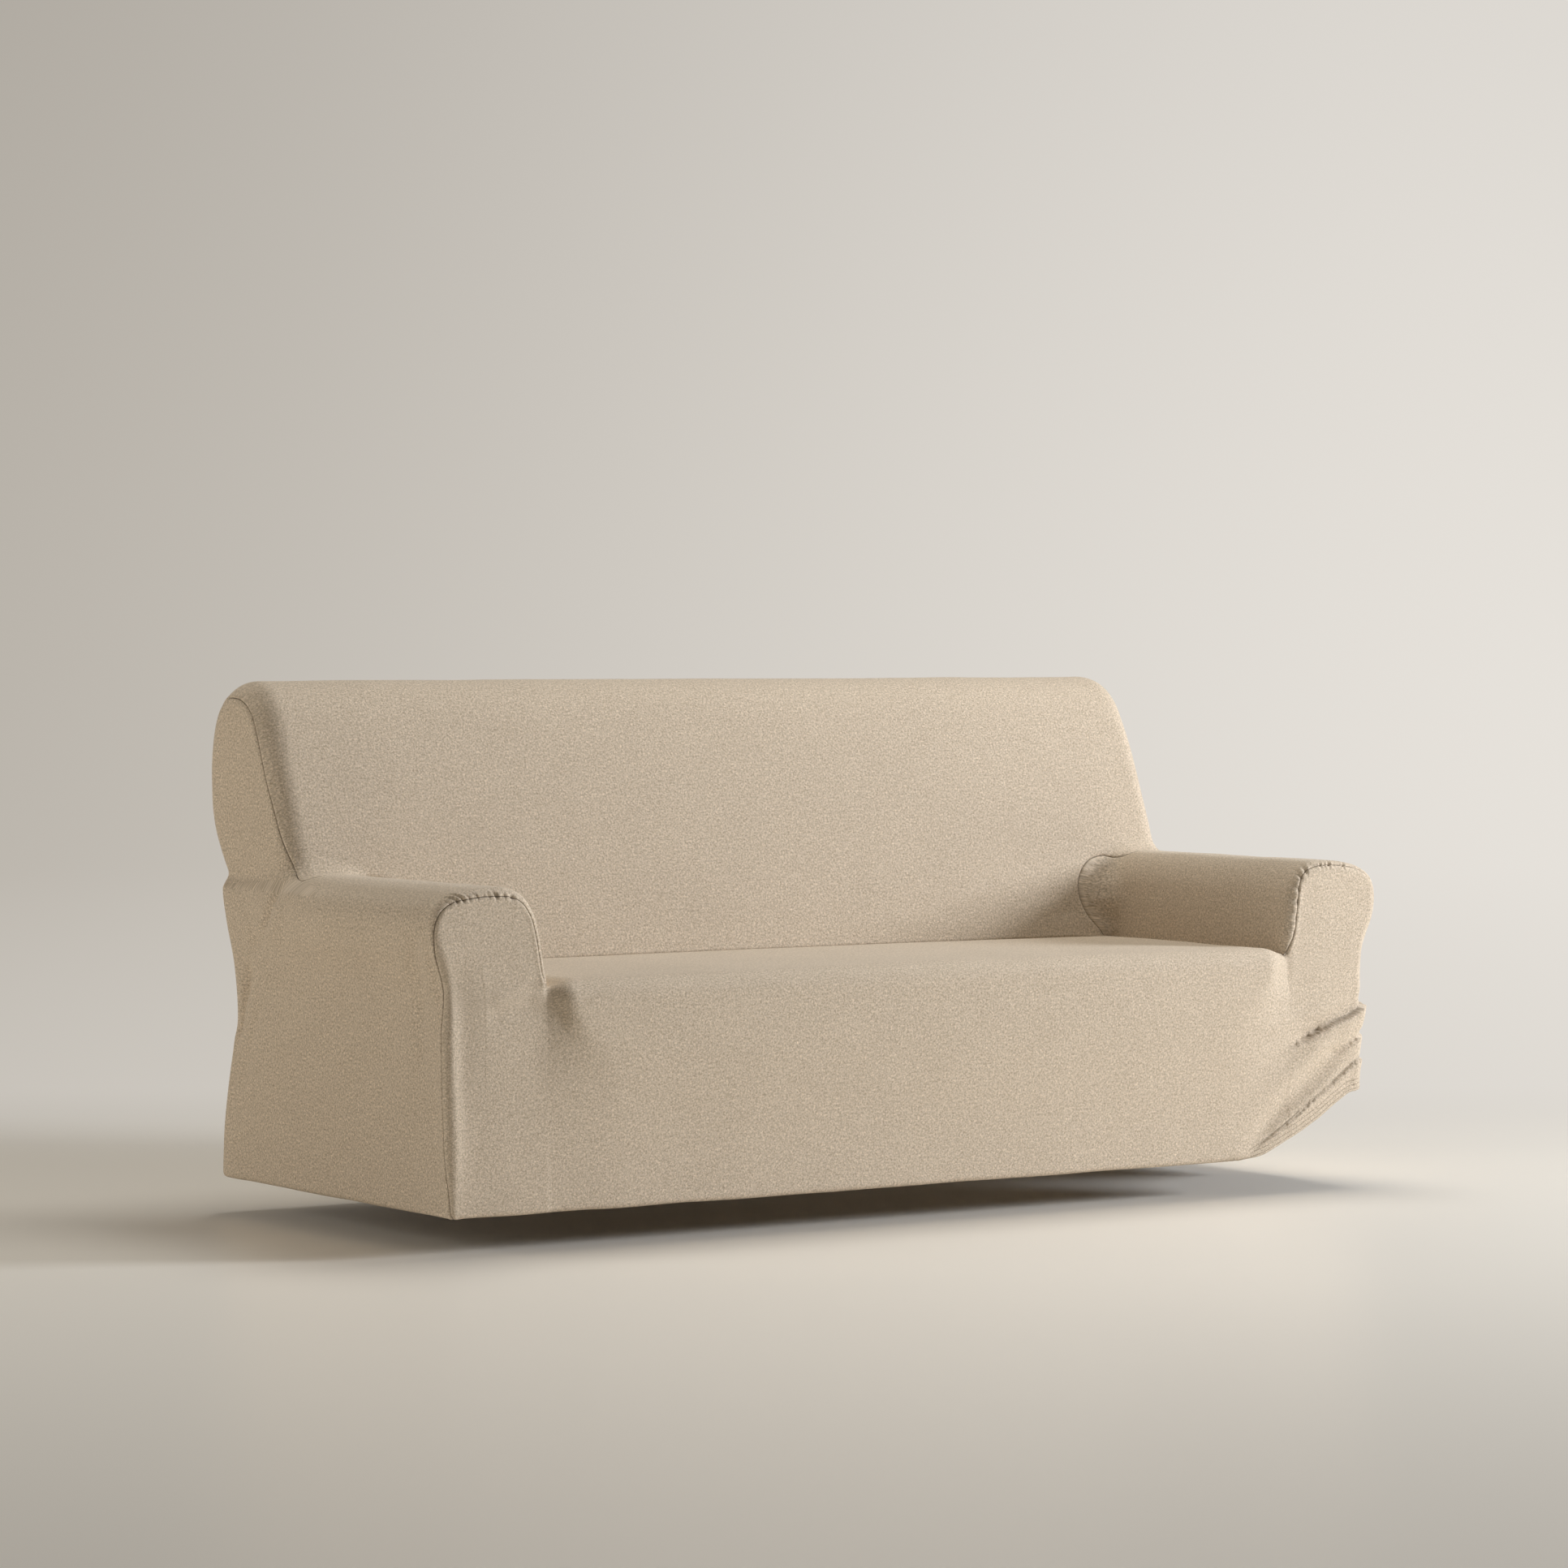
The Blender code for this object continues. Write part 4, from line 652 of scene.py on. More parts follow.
    def back_patches(self):
        """inside back and rear: a middle patch and a strip at each end that starts on the arm"""
        i0 = int(np.argmin(np.abs(BACK_CURVE[:BACK_CREST, 1]-0.3785)))
        i1 = BACK_CREST+int(np.argmin(np.abs(BACK_CURVE[BACK_CREST:, 1])))
        path = BACK_CURVE[i0:i1+1]
        d = run_length(path)
        top = BACK_CREST-i0
        up = np.interp([0.508, 0.826], path[:top, 1], d[:top])
        down = np.interp([0.507, 0.824], path[top:, 1][::-1], d[top:][::-1])[::-1]
        spans = ((0, up[0], self.low), (up[0], up[1], self.rise), (up[1], down[0], self.wing), (down[0], down[1], self.rise))
        s = np.concatenate([[0]]+[(p+(q-p)*t)[1:] for p, q, t in spans])
        Q = np.stack([np.interp(s, d, path[:, 0]), np.interp(s, d, path[:, 1])], -1)
        z = outline_at(self.outline_rows)[::-1, 1]
        ah = self.hem[::-1]
        zh, uh = np.maximum(ah-HEM_TURN, 0), np.maximum(HEM_TURN-ah, 0)
        Q = np.concatenate([Q, np.stack([rear_y(z), z], -1)[1:], np.stack([rear_y(zh)-uh, zh], -1)[1:]])
        nl, nb = self.nl, self.nl+self.no
        out, edges = {}, []
        for side in ("left", "right"):
            place = mirrored if side == "right" else (lambda P: P)
            S = place(self.seams[side]["back"])
            T = S[nl]
            line = np.column_stack([np.full(len(Q)-nl, T[0]), Q[nl:]])
            w = smooth(np.arange(len(line))/(3*self.k))[:, None]
            line[:, 0] += 0.012*w[:, 0]
            line[:len(w)] = (T+line-line[0])*(1-w)+line*w
            line[1:] = snap(line[1:])
            line[0] = T
            bottom, left = S[nl:nb+1][::-1], S[nb:]
            end = left[-1]+(line[-1]-left[-1])*(1-self.over[::-1])[:, None]
            G = blend_patch(bottom, end, left, line)
            G[1:, 1:-1] = snap(G[1:, 1:-1])
            G[:, 0], G[:, -1], G[0] = left, line, bottom
            out["back "+side] = place(G)
            edges.append(place(np.concatenate([S[:nl+1], line[1:]])))
        A, B = edges
        u = self.across[None, :]
        w = smooth(np.minimum(u, 1-u)/0.06)[..., None]
        G = np.zeros((len(Q), self.na+1, 3))
        G[..., 0] = A[:, :1]*(1-u)+B[:, :1]*u
        G[..., 1:] = (A[:, None, 1:]*(1-u[..., None])+B[:, None, 1:]*u[..., None])*(1-w)+Q[:, None]*w
        G[0], G[:, 0], G[:, -1] = self.crease, A, B
        G[1:, 1:-1] = snap(G[1:, 1:-1])
        out["back middle"] = G
        return out


# ================================================================ fine shape of the cloth
PANELS = {
    "left_side_panel": ("left outer", "left over", "left wing"),
    "right_side_panel": ("right outer", "right over", "right wing"),
    "seat_front_panel": ("front lower", "front seat", "front left arm", "front right arm"),
    "back_panel": ("back middle", "back left", "back right")}
FINENESS = {"left_side_panel": 7, "right_side_panel": 7, "seat_front_panel": 7, "back_panel": 5}

SEAM_DEPTH, SEAM_BREADTH = 0.0012, 0.0014      # valley along a seam
ALLOWANCE_HEIGHT, ALLOWANCE_AT, ALLOWANCE_BREADTH = 0.0009, 0.0050, 0.0034   # soft ridge of the seam allowance beside it
WAVE_HEIGHT = 0.0008                           # faint unevenness of stretched cloth

# gathers beside the arm-front seams: place along the seam from the hem (m), how far they run, half width, depth
GATHERS = {
    "left": [(.575, .010, .0020, .0014), (.588, .016, .0024, .0030), (.600, .018, .0027, .0038), (.612, .010, .0018, .0018), (.627, .014, .0017, .0024),
             (.648, .006, .0018, .0018), (.662, .008, .0030, .0046), (.677, .005, .0018, .0014), (.692, .005, .0044, .0038)],
    "right": [(.462, .008, .0024, .0034), (.496, .009, .0028, .0042), (.507, .006, .0020, .0010), (.516, .007, .0022, .0026), (.551, .012, .0034, .0038),
              (.567, .020, .0034, .0024), (.590, .015, .0044, .0016), (.612, .024, .0052, .0022), (.641, .018, .0046, .0014), (.669, .016, .0040, .0013)]}
GATHER_SLANT = {"left": 0.75, "right": 0.45}
# edge of the seam allowance showing through: side, from, to (m along the seam), height
PIPED = [("left", .330, .555, .0011), ("left", .700, .850, .0006)]
# soft troughs and ridges: height, breadth, line
SOFT = {
    "corner valley": (-.0034, .0065, [(1.640, -.004, .135), (1.680, -.002, .163), (1.713, 0, .182), (1.757, 0, .203), (1.790, 0, .217), (1.820, 0, .2290), (1.848, 0, .2415), (1.880, 0, .2525)]),
    "corner pocket": (-.0056, .0068, [(1.770, 0, .2105), (1.790, 0, .2175), (1.810, 0, .2240), (1.830, 0, .2310), (1.845, 0, .2380)]),
    "corner shoulder": (.0026, .0150, [(1.640, 0, .235), (1.720, 0, .246), (1.790, 0, .256), (1.850, 0, .268), (1.900, 0, .286)]),
    "corner swell": (.0045, .0150, [(1.670, -.004, .108), (1.720, -.002, .135), (1.770, 0, .163), (1.820, 0, .192), (1.865, 0, .217), (1.905, 0, .237), (1.929, .006, .246), (1.931, .040, .250)]),
    "corner crease": (-.0034, .0060, [(1.835, 0, .170), (1.853, 0, .180), (1.880, 0, .1905), (1.903, 0, .205), (1.924, .004, .219), (1.931, .030, .226), (1.931, .050, .230)]),
    "corner trough": (-.0082, .0190, [(1.640, -.005, -.004), (1.668, -.004, .026), (1.706, -.002, .062), (1.752, 0, .100), (1.790, 0, .128), (1.830, 0, .156), (1.866, 0, .181), (1.905, 0, .204)]),
    "hem shoulder": (.0030, .0070, [(1.680, -.003, .024), (1.715, -.002, .048), (1.762, 0, .080), (1.810, 0, .111), (1.860, 0, .144), (1.900, 0, .168)]),
    "left groove": (-.0048, .0135, [(.012, .052, .520), (-.008, .042, .513), (-.024, .033, .497), (-.031, .029, .472), (-.029, .028, .442), (-.019, .029, .402), (-.008, .029, .350), (-.003, .029, .290)]),
    "left junction crease": (-.0046, .0070, [(.016, .590, .540), (-.004, .588, .508), (-.010, .603, .478), (-.006, .628, .436), (-.003, .650, .400)]),
    "left waist crease": (-.0050, .0090, [(-.002, .672, .405), (-.001, .700, .352), (-.001, .724, .294), (-.001, .740, .235), (-.001, .752, .190)]),
    "left rear ripple": (-.0036, .0120, [(-.002, .640, .330), (-.001, .670, .270), (-.001, .700, .205), (-.001, .722, .150)]),
    "left corner edge": (.0070, .0200, [(.003, .006, -.004), (.001, .007, .080), (.000, .009, .170), (-.001, .010, .260), (-.002, .011, .340), (-.005, .012, .400)]),
    "left arm dip": (-.0022, .0090, [(.172, -.004, .376), (.180, -.008, .365), (.188, -.011, .350), (.197, -.012, .332), (.204, -.012, .312), (.209, -.012, .290)]),
    "left arm lip": (.0028, .0070, [(.160, -.002, .372), (.178, -.004, .381), (.192, .002, .388), (.206, .012, .386)]),
    "left arm tuck": (-.0040, .0030, [(.1935, .004, .384), (.200, .003, .3855), (.208, .002, .3835), (.214, .001, .378)]),
    "left arm slope": (-.0032, .0180, [(.060, 0, .316), (.100, 0, .330), (.140, -.002, .338), (.175, -.008, .352)]),
    "left arm pull": (.0018, .0120, [(.070, 0, .352), (.110, 0, .362), (.146, -.002, .374)]),
    "right arm dip": (-.0016, .0120, [(1.737, -.014, .372), (1.729, -.022, .360), (1.722, -.024, .335), (1.716, -.022, .300)]),
    "right arm lip": (.0014, .0110, [(1.752, -.006, .366), (1.742, -.014, .356), (1.735, -.018, .335), (1.728, -.020, .305)]),
    "junction pull a": (-.0014, .0060, [(1.560, .548, .470), (1.590, .552, .482), (1.625, .556, .494), (1.660, .560, .505)]),
    "junction pull b": (-.0016, .0065, [(1.545, .540, .440), (1.585, .543, .448), (1.625, .546, .458), (1.670, .545, .470)]),
    "junction pull c": (-.0014, .0060, [(1.570, .532, .412), (1.610, .533, .416), (1.650, .532, .424), (1.690, .526, .436)]),
    "right junction crease": (-.0030, .0060, [(1.700, .500, .532), (1.712, .528, .522), (1.712, .545, .505), (1.702, .556, .490)]),
    "right arm root": (-.0025, .0100, [(1.747, .440, .500), (1.742, .470, .480), (1.733, .495, .452), (1.728, .505, .420)]),
    "left junction pull": (-.0014, .0060, [(.262, .545, .470), (.300, .548, .462), (.340, .545, .450)])}
# lapped creases: depth and breadth of the valley above, rise, height and breadth of the ridge below, strength of the
# painted shade along the crease, fades at the ends, line
CREASES = {
    "corner lap edge": (.0030, .0024, .0016, .0022, .0110, 0.75, (.03, .05), [
        (1.785, 0, .2105), (1.803, 0, .2175), (1.834, 0, .2300), (1.853, 0, .2395), (1.891, 0, .2520), (1.9235, .004, .2670), (1.931, .022, .2735), (1.931, .060, .2830), (1.931, .115, .2960)]),
    "hem band edge": (.0013, .0022, .0014, .0016, .0300, 0.45, (.06, .10), [
        (1.662, -.003, .004), (1.700, -.002, .035), (1.748, 0, .064), (1.795, 0, .095), (1.853, 0, .131), (1.892, 0, .1565), (1.924, .003, .1750), (1.931, .020, .1740), (1.931, .060, .1400),
        (1.931, .120, .1070), (1.931, .180, .0690), (1.931, .240, .0320), (1.931, .290, .0060)])}
HEM_ROWS = (0.0045, 0.0125, 0.0205)            # stitch rows above the hem's edge
STITCH, STITCH_PITCH, THREAD = 0.0030, 0.0043, 0.00060


def nearest(P, line, reach):
    """distance to a line of points, place along it, and the vector to it, for points near it"""
    near = np.full(len(P), 1e3)
    along = np.zeros(len(P))
    away = np.zeros_like(P)
    box = ((P > line.min(0)-reach) & (P < line.max(0)+reach)).all(1)
    Q = P[box]
    n, a_, w = near[box], along[box], away[box]
    d = run_length(line)
    for i in range(len(line)-1):
        a, e = line[i], line[i+1]-line[i]
        m = np.abs(Q-(a+line[i+1])/2).max(1) < reach+np.linalg.norm(e)
        if not m.any():
            continue
        q = Q[m]-a
        t = np.clip(q@e/max(e@e, 1e-12), 0, 1)
        v = q-t[:, None]*e
        r = np.linalg.norm(v, axis=1)
        better = r < n[m]
        j = np.where(m)[0][better]
        n[j], a_[j], w[j] = r[better], d[i]+t[better]*(d[i+1]-d[i]), v[better]
    near[box], along[box], away[box] = n, a_, w
    return near, along, away


def value_noise(P, size, seed):
    """smooth repeatable noise, -1 to 1"""
    q = P/size+seed*17.31
    i = np.floor(q).astype(np.int64)
    f = q-i
    f = f*f*(3-2*f)
    out = np.zeros(len(P))
    for dx in (0, 1):
        for dy in (0, 1):
            for dz in (0, 1):
                h = (i[:, 0]+dx)*73856093 ^ (i[:, 1]+dy)*19349663 ^ (i[:, 2]+dz)*83492791 ^ (seed*2654435761)
                h = (h ^ (h >> 13))*1274126177
                r = ((h ^ (h >> 16)) & 0xFFFF)/32767.5-1
                out += r*np.where(dx, f[:, 0], 1-f[:, 0])*np.where(dy, f[:, 1], 1-f[:, 1])*np.where(dz, f[:, 2], 1-f[:, 2])
    return out


def wander(s, size, seed):
    return value_noise(np.stack([s/size, s*0+.5, s*0+.5], 1), 1.0, seed)


def seam_list(net):
    """every sewn line of the cover"""
    lines = []
    for s in ("left", "right"):
        S = net.seams[s]
        lines += [(s+" front", S["front"]), (s+" back", S["back"]), (s+" crease", S["crease"])]
    lines.append(("seat crease", net.crease))
    return lines


SOFT_LINES = {name: catmull(line, 4) for name, (height, breadth, line) in SOFT.items()}
CREASE_LINES = {name: catmull(row[-1], 5) for name, row in CREASES.items()}


def fine_height(P, panel, seams):
    """height of the small relief, distance to the nearest seam, and the painted shade in gather pits and crease
    valleys
    """
    h = np.zeros(len(P))
    shut = np.zeros(len(P))
    seam = np.full(len(P), 1e3)
    line = np.full(len(P), 1e3)
    for name, run in seams:
        r, along, away = nearest(P, run, 0.070)
        seam = np.minimum(seam, r)
        # line: distance to the seam line, a little more at creases; it shapes the seam valley and sets the painted
        # shade along seams
        line = np.minimum(line, r+0.0009*name.endswith("crease"))
        side = name.split()[0]
        if name.endswith("front") and side in GATHERS:
            m = r < 0.070
            on_side = panel.endswith("side_panel")
            for place, reach, width, depth in GATHERS[side]:
                u = (along[m]-place+GATHER_SLANT[side]*r[m]*on_side)/width
                g = np.exp(-(r[m]/(reach if on_side else 0.003))**2)
                h[m] += depth*g*(0.42*np.exp(-(u-1.9)**2)+0.42*np.exp(-(u+1.9)**2)-np.exp(-u*u))
                # painted shade in the pit of each gather
                shut[m] = np.maximum(shut[m], np.exp(-(1.3*u)**2)*np.exp(-(r[m]/(0.35*reach if on_side else 0.002))**2)*min(depth/0.0045, 1))
            for which, start, end, height in PIPED:
                if which == side and on_side:
                    h[m] += height*np.exp(-((r[m]-0.0017)/0.0010)**2)*smooth((along[m]-start)/0.03)*smooth((end-along[m])/0.02)
            if side == "left":      # the arm's front falls away towards the seam
                h[m] -= 0.0056*(not on_side)*smooth((0.475-along[m])/0.06)*(0.10+0.90*smooth((along[m]-0.14)/0.20))*(r[m]/0.024)*np.exp(0.5-r[m]**2/(2*0.024**2))
    h -= SEAM_DEPTH*np.exp(-(line/SEAM_BREADTH)**2)
    h += ALLOWANCE_HEIGHT*np.exp(-((line-ALLOWANCE_AT)/ALLOWANCE_BREADTH)**2)*(line-seam < 1e-6)
    for name, (height, breadth, _) in SOFT.items():
        L = SOFT_LINES[name]
        r, along, away = nearest(P, L, 3.2*breadth)
        m = r < 3.2*breadth
        full = run_length(L)[-1]
        ends = smooth(along[m]/(0.30*full))*smooth((full-along[m])/(0.25*full))
        h[m] += height*np.exp(-(r[m]/breadth)**2)*ends
    for name, (depth, above, rise, ridge, below, painted_shade_amount, fades, _) in CREASES.items():
        L = CREASE_LINES[name]
        r, along, away = nearest(P, L, 0.060)
        m = r < 0.060
        full = run_length(L)[-1]
        s = np.where(away[m][:, 2] > 0, r[m], -r[m])
        ends = smooth(along[m]/fades[0])*smooth((full-along[m])/fades[1])
        t = smooth(-s/rise)
        valley = np.exp(-(s/above)**2)
        h[m] += ends*np.where(s > 0, -depth*valley, -depth*(1-t)+t*ridge*np.exp(-(np.maximum(-s-rise, 0)/below)**2))
        # painted shade along the crease: over the valley above, fading across the rise below
        shut[m] = np.maximum(shut[m], painted_shade_amount*ends*np.where(s > 0, valley, 1-smooth(-s/(0.9*rise))))
    calm = smooth((seam-0.01)/0.05)
    h += WAVE_HEIGHT*calm*(value_noise(P*np.array([1, 1, 0.55]), 0.11, 3)+0.5*value_noise(P, 0.045, 4))
    return h, seam, line, shut


def drawn_in(P, free, seams):
    """slides the net's points along the cloth towards seams and creases, so that cells are small there"""
    rows = [(line, 0.70, 0.009) for _, line in seams]
    rows += [(L, 0.72, 0.010) for L in CREASE_LINES.values()]
    moved = np.zeros(len(P), bool)
    for line, share, breadth in rows:
        r, along, away = nearest(P, line, 3*breadth)
        m = (r < 2.6*breadth) & free
        P[m] -= away[m]*(share*np.exp(-(r[m]/breadth)**2))[:, None]
        moved |= m
    if moved.any():
        P[moved] = snap(P[moved], 2)
    return P


def nearest_length(curve, lengths, a, b):
    """place along a curve of the point nearest to (a, b)"""
    out = np.zeros(len(a))
    for i in range(0, len(a), 8192):
        d = (a[i:i+8192, None]-curve[None, :, 0])**2+(b[i:i+8192, None]-curve[None, :, 1])**2
        j = np.clip(d.argmin(1), 1, len(curve)-2)
        e = curve[j+1]-curve[j-1]
        t = ((a[i:i+8192]-curve[j-1, 0])*e[:, 0]+(b[i:i+8192]-curve[j-1, 1])*e[:, 1])/(e**2).sum(1)
        out[i:i+8192] = lengths[j-1]+np.clip(t, 0, 1)*(lengths[j+1]-lengths[j-1])
    return out


def cloth_uv(name, P):
    """cloth coordinates in metres: along the course, up the wale"""
    x, y, z = P[:, 0], P[:, 1], P[:, 2]
    inboard = np.minimum(x, WIDTH-x)
    n = int(np.argmin(np.abs(OUTLINE_L-L_SHOULDER)))+1
    if name.endswith("outer"):
        v = np.interp(z, OUTLINE[:n, 1], OUTLINE_L[:n])
        return y, v-np.where(z < 0.012, np.maximum(inboard-0.012, 0), 0)
    if name.endswith("over"):
        return y, nearest_length(OUTLINE, OUTLINE_L, inboard, z)
    if name.endswith("wing"):
        return y, z-outline_at(L_SHOULDER)[1]+L_SHOULDER
    if name.startswith("front"):
        turn = np.maximum(y, 0)*(inboard < 0.03)*(z > 0.012)      # the cloth that lies round the corner
        x = x+np.where(x < WIDTH/2, -turn, turn)
        if name in ("front lower", "front seat"):
            v = z+np.maximum(y+0.025, 0)*smooth((z-0.33)/0.04)
            return x, v-np.where(z < 0.012, np.maximum(y-0.012, 0), 0)
        return x, z
    return x, nearest_length(BACK_CURVE, run_length(BACK_CURVE), y, z)


def make_panel(name, net, seams):
    points, patch_of, quads, at = [], [], [], 0
    for number, patch in enumerate(PANELS[name]):
        G = net.patches[patch]
        i = np.arange(G[..., 0].size).reshape(G.shape[:2])+at
        at += i.size
        points.append(G.reshape(-1, 3))
        q = np.stack([i[:-1, :-1], i[:-1, 1:], i[1:, 1:], i[1:, :-1]], -1).reshape(-1, 4)
        p = np.concatenate(points)[q]
        n = np.cross(p[:, 2]-p[:, 0], p[:, 3]-p[:, 1])
        if np.median((n*outward(p.mean(1))).sum(-1)) < 0:
            q = q[:, ::-1]
        quads.append(q)
        patch_of.append(np.full(len(q), number))
    points, quads, patch_of = np.concatenate(points), np.concatenate(quads), np.concatenate(patch_of)
    _, first, same = np.unique(np.round(points*1e6).astype(np.int64), axis=0, return_index=True, return_inverse=True)
    P, Q = points[first], same.reshape(-1)[quads]
    flat = (Q[:, 0] == Q[:, 1]) | (Q[:, 1] == Q[:, 2]) | (Q[:, 2] == Q[:, 3]) | (Q[:, 3] == Q[:, 0])
    Q, patch_of = Q[~flat], patch_of[~flat]
    # edges used once are the panel's border
    e = np.concatenate([Q[:, [k, (k+1) % 4]] for k in range(4)])
    owner = np.tile(np.arange(len(Q)), 4)
    _, inverse, count = np.unique(np.sort(e, axis=1), axis=0, return_inverse=True, return_counts=True)
    once = count[inverse.reshape(-1)] == 1
    e, owner = e[once], owner[once]
    edge = np.unique(e)
    free = np.ones(len(P), bool)
    free[edge] = False
    P = drawn_in(P, free, seams)
    quad_uv = np.zeros((len(Q), 4, 2))
    for number, patch in enumerate(PANELS[name]):
        m = patch_of == number
        u, v = cloth_uv(patch, P[Q[m]].reshape(-1, 3))
        quad_uv[m] = np.stack([u, v], -1).reshape(-1, 4, 2)
    n0 = outward(P)
    h, seam, line, shut = fine_height(P, name, seams)
    W = P+(fold_height(P)+h)[:, None]*n0
    fn = np.cross(W[Q[:, 2]]-W[Q[:, 0]], W[Q[:, 3]]-W[Q[:, 1]])
    N = np.zeros_like(W)
    for k in range(4):
        np.add.at(N, Q[:, k], fn)
    N /= np.maximum(np.linalg.norm(N, axis=1, keepdims=True), 1e-15)
    f = fn[owner]/np.maximum(np.linalg.norm(fn[owner], axis=1, keepdims=True), 1e-15)
    d = W[e[:, 1]]-W[e[:, 0]]
    inside = np.cross(f, d)
    inside /= np.maximum(np.linalg.norm(inside, axis=1, keepdims=True), 1e-15)
    pull = np.zeros_like(W)
    np.add.at(pull, e[:, 0], inside)
    np.add.at(pull, e[:, 1], inside)
    pull /= np.maximum(np.linalg.norm(pull, axis=1, keepdims=True), 1e-9)
    sewn = edge[seam[edge] < 0.0008]
    W[sewn] += SEAM_GAP*np.where(line[sewn]-seam[sewn] < 1e-6, 0.8, 0.35)[:, None]*pull[sewn]
    inner = W-SHEET*N
    m = len(W)
    V = np.concatenate([W, inner])-ORIGIN
    a, b = e[:, 0], e[:, 1]
    side = np.stack([b, a, a+m, b+m], 1)
    F = np.concatenate([Q, Q[:, ::-1]+m, side])
    lookup = np.zeros((m, 2))
    lookup[Q.reshape(-1)] = quad_uv.reshape(-1, 2)
    UV = np.concatenate([quad_uv, quad_uv[:, ::-1], lookup[side % m]])
    mesh = bpy.data.meshes.new(name+"_cloth")
    mesh.vertices.add(len(V))
    mesh.vertices.foreach_set("co", V.astype(np.float32).ravel())
    mesh.loops.add(F.size)
    mesh.loops.foreach_set("vertex_index", F.astype(np.int32).ravel())
    mesh.polygons.add(len(F))
    mesh.polygons.foreach_set("loop_start", (np.arange(len(F))*4).astype(np.int32))
    mesh.polygons.foreach_set("loop_total", np.full(len(F), 4, np.int32))
    layer = mesh.uv_layers.new(name="cloth")
    layer.data.foreach_set("uv", UV.astype(np.float32).ravel())
    mesh.update(calc_edges=True)
    # seam: distance to the seam line, read by the material for its painted shade along seams
    for label, values in (("seam", line), ("shut", shut)):
        near = mesh.attributes.new(label, "FLOAT", "POINT")
        near.data.foreach_set("value", np.concatenate([values, values]).astype(np.float32))
    mesh.validate()
    mesh.shade_smooth()
    obj = bpy.data.objects.new("knit_"+name, mesh)
    bpy.context.scene.collection.objects.link(obj)
    return obj


def hem_stitches(net, seams):
    """rows of short stitches along the pulled-up hem"""
    front = net.patches["front lower"][0]
    side = net.patches["right outer"][0]
    front = front[front[:, 0] > LIFT_START+0.075]
    side = side[side[:, 1] < 0.22]
    verts, faces = [], []
    ring = [(np.cos(a), np.sin(a)) for a in np.linspace(0, 2*np.pi, 5)[:-1]]
    for panel, line in (("seat_front_panel", front), ("right_side_panel", side)):
        t = np.gradient(line, axis=0)
        t /= np.linalg.norm(t, axis=1, keepdims=True)
        up = np.cross(outward(line), t)
        up *= np.sign(up[:, 2:3])
        for row in HEM_ROWS:
            R = snap(line+row*up, 4)
            h = fold_height(R)+fine_height(R, panel, seams)[0]
            R = R+(h+0.0001)[:, None]*outward(R)
            d = run_length(R)
            n = int(d[-1]/STITCH_PITCH)
            for i in range(n):
                s0 = i*STITCH_PITCH+0.0006
                A, B = (np.array([np.interp(s, d, R[:, c]) for c in range(3)]) for s in (s0, s0+STITCH))
                o = outward((A+B)[None]/2)[0]
                e = (B-A)/np.linalg.norm(B-A)
                w = np.cross(o, e)
                k = len(verts)
                verts.append(A-0.0002*o)
                for c in (0.25, 0.75):
                    verts += [A+(B-A)*c+THREAD*(w*p+o*q) for p, q in ring]
                verts.append(B-0.0002*o)
                for j in range(4):
                    l = (j+1) % 4
                    faces += [(k, k+1+l, k+1+j), (k+1+j, k+1+l, k+5+l, k+5+j), (k+5+j, k+5+l, k+9)]
    mesh = bpy.data.meshes.new("hem_stitches")
    mesh.from_pydata([tuple(v) for v in np.array(verts)-ORIGIN], [], faces)
    mesh.shade_smooth()
    obj = bpy.data.objects.new("hem_stitches", mesh)
    bpy.context.scene.collection.objects.link(obj)
    return obj


# ================================================================ material
def node(tree, kind, place=(0, 0), **settings):
    n = tree.nodes.new(kind)
    n.location = place
    for key, value in settings.items():
        setattr(n, key, value)
    return n


def maths(tree, operation, a, b=None, c=None):
    n = node(tree, "ShaderNodeMath", operation=operation)
    for i, v in enumerate((a, b, c)):
        if v is None:
            continue
        if isinstance(v, (int, float)):
            n.inputs[i].default_value = v
        else:
            tree.links.new(v, n.inputs[i])
    return n.outputs[0]


CLOTH = (0.590, 0.490, 0.373)        # mean colour of the cloth, linear
FLECKS = [(0.00, (0.66, 0.62, 0.56)), (0.16, (0.79, 0.77, 0.73)), (0.38, (0.94, 0.935, 0.92)), (0.62, (1.04, 1.04, 1.04)), (0.82, (1.17, 1.18, 1.20)), (1.00, (1.36, 1.39, 1.45))]
WALE, COURSE = 0.00150, 0.00120      # size of one knitted loop
GRAIN = {"left_side_panel": 1.50, "right_side_panel": 1.20, "seat_front_panel": 1.08, "back_panel": 1.20}   # strength of the mottling


